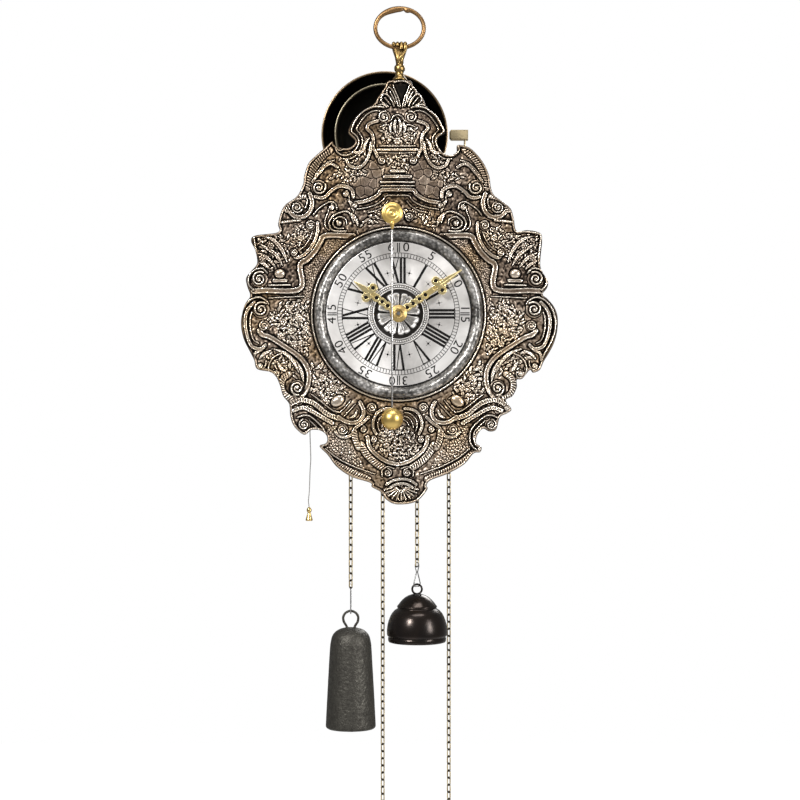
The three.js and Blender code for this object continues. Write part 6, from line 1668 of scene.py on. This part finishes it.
# Pendulum: a turned brass disc with rings on the verge's front end, a thin steel wire
# screwed into its neck, and a spun brass ball that slides on the wire.
polished_brass = aged_metal("polished_brass", (0.68, 0.48, 0.16), (0.52, 0.35, 0.10), (0.3, 0.42),
                            70.0, stain_share=0.42)
pendulum_x, verge_z, rod_y = -5.5, 86.0, -20.0
disc_profile = [
    (0, -22.5), (1.0, -22.45), (1.3, -22.1), (2.2, -22.1), (2.5, -22.4), (3.4, -22.5), (4.2, -22.2),
    (4.9, -21.7), (5.4, -21.9), (6.2, -22.2), (7.0, -21.9), (7.5, -21.3), (8.1, -21.2),
    (8.7, -21.0), (9.2, -20.5), (9.35, -19.9), (9.3, -19.3), (8.9, -18.7), (8.0, -18.2), (6, -17.8),
    (3, -17.6), (1.9, -17.5), (1.9, -20.9), (0, -20.9),
]
neck_profile = [
    (0, 72.2), (0.9, 72.2), (1.2, 72.6), (1.35, 74), (1.8, 75.4), (2.2, 77.0), (2.2, 79), (0, 79),
]
pendulum_disc = new_piece("turned_disc", *several(
    revolve(disc_profile, 72, "Y", (pendulum_x, 0, verge_z)),
    revolve(neck_profile, 24, "Z", (pendulum_x, rod_y, 0))), polished_brass)
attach(pendulum_disc, "pendulum")
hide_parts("pendulum_disc")
rod = new_piece("pendulum_wire", *revolve(
    [(0, -101.9), (0.55, -101.9), (0.75, -101.5), (0.75, 71.6), (0.6, 71.9), (0, 71.9)], 16, "Z",
    (pendulum_x, rod_y, 0)), bright_steel)
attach(rod, "pendulum")
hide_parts("pendulum_rod")
bob_z, bob_radius, bob_bore = -91.0, 9.6, 1.05
first_angle = asin(bob_bore / bob_radius)
bob_angles = [first_angle + (pi - 2 * first_angle) * k / 32 for k in range(33)]
bob_profile = [(bob_radius * sin(a), bob_z + bob_radius * cos(a)) for a in bob_angles]
bob = new_piece("brass_ball", *revolve(
    bob_profile, 64, "Z", (pendulum_x, rod_y, 0), True), polished_brass)
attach(bob, "pendulum")
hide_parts("pendulum_bob")

# Bells: two spun bell-metal shells, nested on one stud, nearly black with age, with a paler
# band along the rim. The hammers stand beside them: filed brass blocks on bent steel stems.
bell_x, bell_z = -12.3, 160.6


def bell_finish(name, clean, stained, rough, rim_y, rim_colour, width):
    """Dark bell metal, paler in a band along its front rim."""
    material, shader, add, wire = new_material(name)
    place = add("ShaderNodeTexCoord").outputs["Object"]
    patch = mottled(add, place, 40.0, 6.0, Roughness=0.6)
    body = ramp_of(add, patch, [(0.3, stained), (0.7, clean)])
    depth = add("ShaderNodeSeparateXYZ", {"Vector": place}).outputs["Y"]
    rim_at = (rim_y + plate_front) * MM
    near = spread(add, depth, rim_at + width * MM, rim_at + 0.2 * width * MM, 0.0, 1.0)
    wire(mixed(add, near, body, (*rim_colour, 1)), "Base Color")
    shader.inputs["Metallic"].default_value = 0.85
    shader.inputs["Roughness"].default_value = rough
    return material


bell_shares = [
    (1, 0), (0.997, 0.06), (0.985, 0.16), (0.965, 0.3), (0.93, 0.43), (0.885, 0.55), (0.82, 0.66),
    (0.73, 0.77), (0.62, 0.855), (0.5, 0.92), (0.36, 0.965), (0.22, 0.99),
]


bell_wall, stud_hole = 2.0, 2.8


def bell_mesh(radius, mouth, depth, crown_rear, boss):
    """A spun shell, open to the front, with a boss on its crown that the stud runs through."""
    crown, wall = mouth + depth, bell_wall
    outside = [(radius * r, mouth + depth * d) for r, d in bell_shares]
    inside = [(radius * r - wall, mouth + (depth - wall) * d) for r, d in bell_shares][::-1]
    inside[-1] = (radius - wall, mouth + 0.3)
    crown_boss = [(boss, crown), (boss, crown_rear), (stud_hole, crown_rear),
                  (stud_hole, crown - wall)]
    profile = [(radius - 0.3, mouth)] + outside[1:] + crown_boss + inside
    return revolve(profile, 128, "Y", (bell_x, 0, bell_z), True)


outer_mouth, inner_mouth = 32, 25
dark_bell = bell_finish("dark_bell_metal", (0.022, 0.019, 0.016), (0.010, 0.009, 0.008), 0.3,
                        outer_mouth, (0.20, 0.14, 0.08), 1.2)
inner_bell_metal = bell_finish("inner_bell_metal", (0.030, 0.028, 0.022), (0.012, 0.012, 0.010),
                               0.34, inner_mouth, (0.20, 0.175, 0.12), 4.0)
bells = {"outer": (56.3, outer_mouth, 30, 63.0, 7, dark_bell),
         "inner": (44.4, inner_mouth, 26, 59.7, 5, inner_bell_metal)}
for which, (*sizes, metal) in bells.items():
    shell = new_piece(which + "_bell_shell", *bell_mesh(*sizes), metal)
    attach(shell, "frame")
    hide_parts(which + "_bell")

hammer_brass = aged_metal("hammer_brass", (0.76, 0.64, 0.40), (0.52, 0.41, 0.24), (0.3, 0.46), 60.0)
refinished(["strike_hammer", "quarter_hammer"], hammer_brass)

# Finial: a cast brass hand that grips the hanging ring, on a collar and a flared foot.
# The ring is an oval of brown bronze wire whose ends are forged over each other at the top.
finial_brass = aged_metal("cast_brass", (0.34, 0.23, 0.085), (0.12, 0.075, 0.028), (0.28, 0.42),
                          150.0, bump=0.0003, contrast=0.16)
finial_x, finial_y = 1.0, 9.0
finial_low = 204.5
foot_profile = [
    (0, 0), (6.0, 0), (6.4, 0.5), (6.3, 1.3), (5.4, 2.2), (4.3, 3.4), (3.7, 4.7), (3.5, 6.4),
    (3.6, 7.6), (4.3, 8.4), (4.7, 9.2), (4.75, 10.6), (4.7, 12.0), (4.2, 12.9), (3.5, 13.5),
    (3.3, 14.6), (3.5, 16.5), (4.1, 19), (0, 20),
]
hand_low, hand_high = finial_low + 14.5, 237.5
palm_sections = [
    (0, 3.3, 3.4, 0), (3, 3.5, 3.7, 0), (6, 4.3, 4.2, 0.3), (9, 5.3, 4.2, 1.0), (12, 6.3, 3.9, 1.9),
    (15, 6.8, 3.6, 2.5), (17, 6.7, 3.3, 2.7), (18.2, 5.6, 2.6, 2.6),
]
ring_centre_z = 250.45
ring_half_x, ring_half_z = 23.05, 19.15


def palm_mesh():
    rings, sides = [], 40
    for rise, half_x, half_y, behind in palm_sections:
        rings.append([])
        for k in range(sides):
            c, s = cos(2 * pi * k / sides), sin(2 * pi * k / sides)
            x = half_x * copysign(abs(c) ** 0.75, c)
            y = half_y * copysign(abs(s) ** 0.75, s)
            rings[-1].append(row(finial_x + x, finial_y + behind + y, hand_low + rise))
    return loft(rings)


fingers = []
for k, tip in enumerate((2.4, 2.9, 5.2, 6.0)):
    x = finial_x - 5.0 + 3.3 * k
    line = [(x, finial_y + 3.5, hand_high - 1.2), (x, finial_y + 0.5, hand_high - 0.7),
            (x, finial_y - 2.2, hand_high - 1.2), (x, finial_y - 3.3, hand_high - 0.6 * tip),
            (x - 0.3, finial_y - 2.8, hand_high - tip)]
    path = smooth_path(line, 0.5)
    radii = [MM * (1.62 + 0.22 * cos(4 * pi * i / len(path))) for i in range(len(path))]
    fingers.append(wire_mesh([row(*p) for p in path], radii, 14))
thumb_line = [
    (5.9, 1.5, -1.6), (6.2, -2.4, -3.4), (5.6, -3.6, -6.0), (3.6, -4.2, -9.4), (1.4, -4.2, -12.6),
    (-0.4, -3.6, -15.6), (-0.9, -3.0, -18.0),
]
thumb = smooth_path([(finial_x + x, finial_y + y, hand_high + z) for x, y, z in thumb_line], 0.6)
thumb_radii = [MM * (1.5 - 0.35 * sin(pi * min(1.0, 1.4 * i / len(thumb))))
               for i in range(len(thumb))]
fingers.append(wire_mesh([row(*p) for p in thumb], thumb_radii, 14))
hand = new_piece("gripping_hand", *several(
    revolve(foot_profile, 56, "Z", (finial_x, finial_y, finial_low)), palm_mesh(), *fingers),
    finial_brass)
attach(hand, "frame")
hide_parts("finial")
ring_bronze = aged_metal("ring_bronze", (0.32, 0.19, 0.085), (0.17, 0.095, 0.04), (0.36, 0.46),
                         60.0, bump=0.00002)
ring_points, ring_radii, ring_steps = [], [], 200
for k in range(ring_steps):
    angle = 2 * pi * k / ring_steps
    turn = degrees(angle)
    lapped = 0.95 * exp(-((turn - 106) / 30) ** 2)
    lip = 0.5 * exp(-((turn - 71) / 5) ** 2)
    half = 1.85 + lapped + lip - 0.45 * exp(-((turn - 80) / 4.5) ** 2)
    ring_points.append(row(finial_x + (ring_half_x - half) * cos(angle), finial_y,
                           ring_centre_z + (ring_half_z - half) * sin(angle)))
    ring_radii.append(half * MM)
hanging_ring = new_piece("oval_ring", *wire_mesh(ring_points, ring_radii, 20, True), ring_bronze)
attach(hanging_ring, "ring")
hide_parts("hanging_ring")

# Stage: a pale floor well below, a white surround for the camera, and soft lamps from above,
# from both sides and from behind.
floor_half, floor_z, floor_colour, floor_glow = 4.6, -1.45, (0.86, 0.86, 0.86), 0.85
white, surround_light = (1, 1, 1, 1), 0.24


def pale_finish():
    """A matt stage surface that the camera sees as white."""
    material, shader, add, wire = new_material("pale_floor")
    seen = add("ShaderNodeLightPath").outputs["Is Camera Ray"]
    wire(reckoned(add, "MULTIPLY", seen, floor_glow), "Emission Strength")
    shader.inputs["Emission Color"].default_value = white
    shader.inputs["Base Color"].default_value = (*floor_colour, 1)
    shader.inputs["Roughness"].default_value = 0.9
    return material


floor_mesh = bpy.data.meshes.new("floor")
floor_mesh.from_pydata([(x * floor_half, y * floor_half, floor_z)
                        for x, y in ((-1, -1), (1, -1), (1, 1), (-1, 1))], [], [(0, 1, 2, 3)])
floor = set_out("floor", floor_mesh)
floor_mesh.materials.append(pale_finish())

world = bpy.data.worlds.new("studio")
bpy.context.scene.world = world
world.use_nodes = True
world.node_tree.nodes.clear()
add = node_adder(world.node_tree)
seen = add("ShaderNodeLightPath").outputs["Is Camera Ray"]
lit, shown = (add("ShaderNodeBackground", Color=white, Strength=strength).outputs["Background"]
              for strength in (surround_light, 1.0))
choose = add("ShaderNodeMixShader", {"Fac": seen, 1: lit, 2: shown})
add("ShaderNodeOutputWorld", {"Surface": choose.outputs["Shader"]})


def lamp(name, place, aim, size, watts):
    data = bpy.data.lights.new(name, "AREA")
    data.shape = "RECTANGLE"
    data.size, data.size_y = size
    data.energy = watts
    holder = set_out(name, data)
    holder.location = place
    holder.rotation_euler = (Vector(aim) - Vector(place)).to_track_quat("-Z", "Y").to_euler()


middle = tuple(row(0, 0, 20))
lamp("key_lamp", (-0.9, -1.3, 0.5), middle, (0.35, 0.35), 32)
lamp("side_lamp", (1.2, -0.9, -0.1), middle, (0.3, 0.7), 19)
lamp("top_lamp", (0.1, -0.5, 1.0), middle, (0.9, 0.3), 10)
lamp("rear_lamp", (0.7, 1.6, 0.6), middle, (0.8, 0.8), 16)
bpy.context.scene.view_settings.view_transform = "Standard"
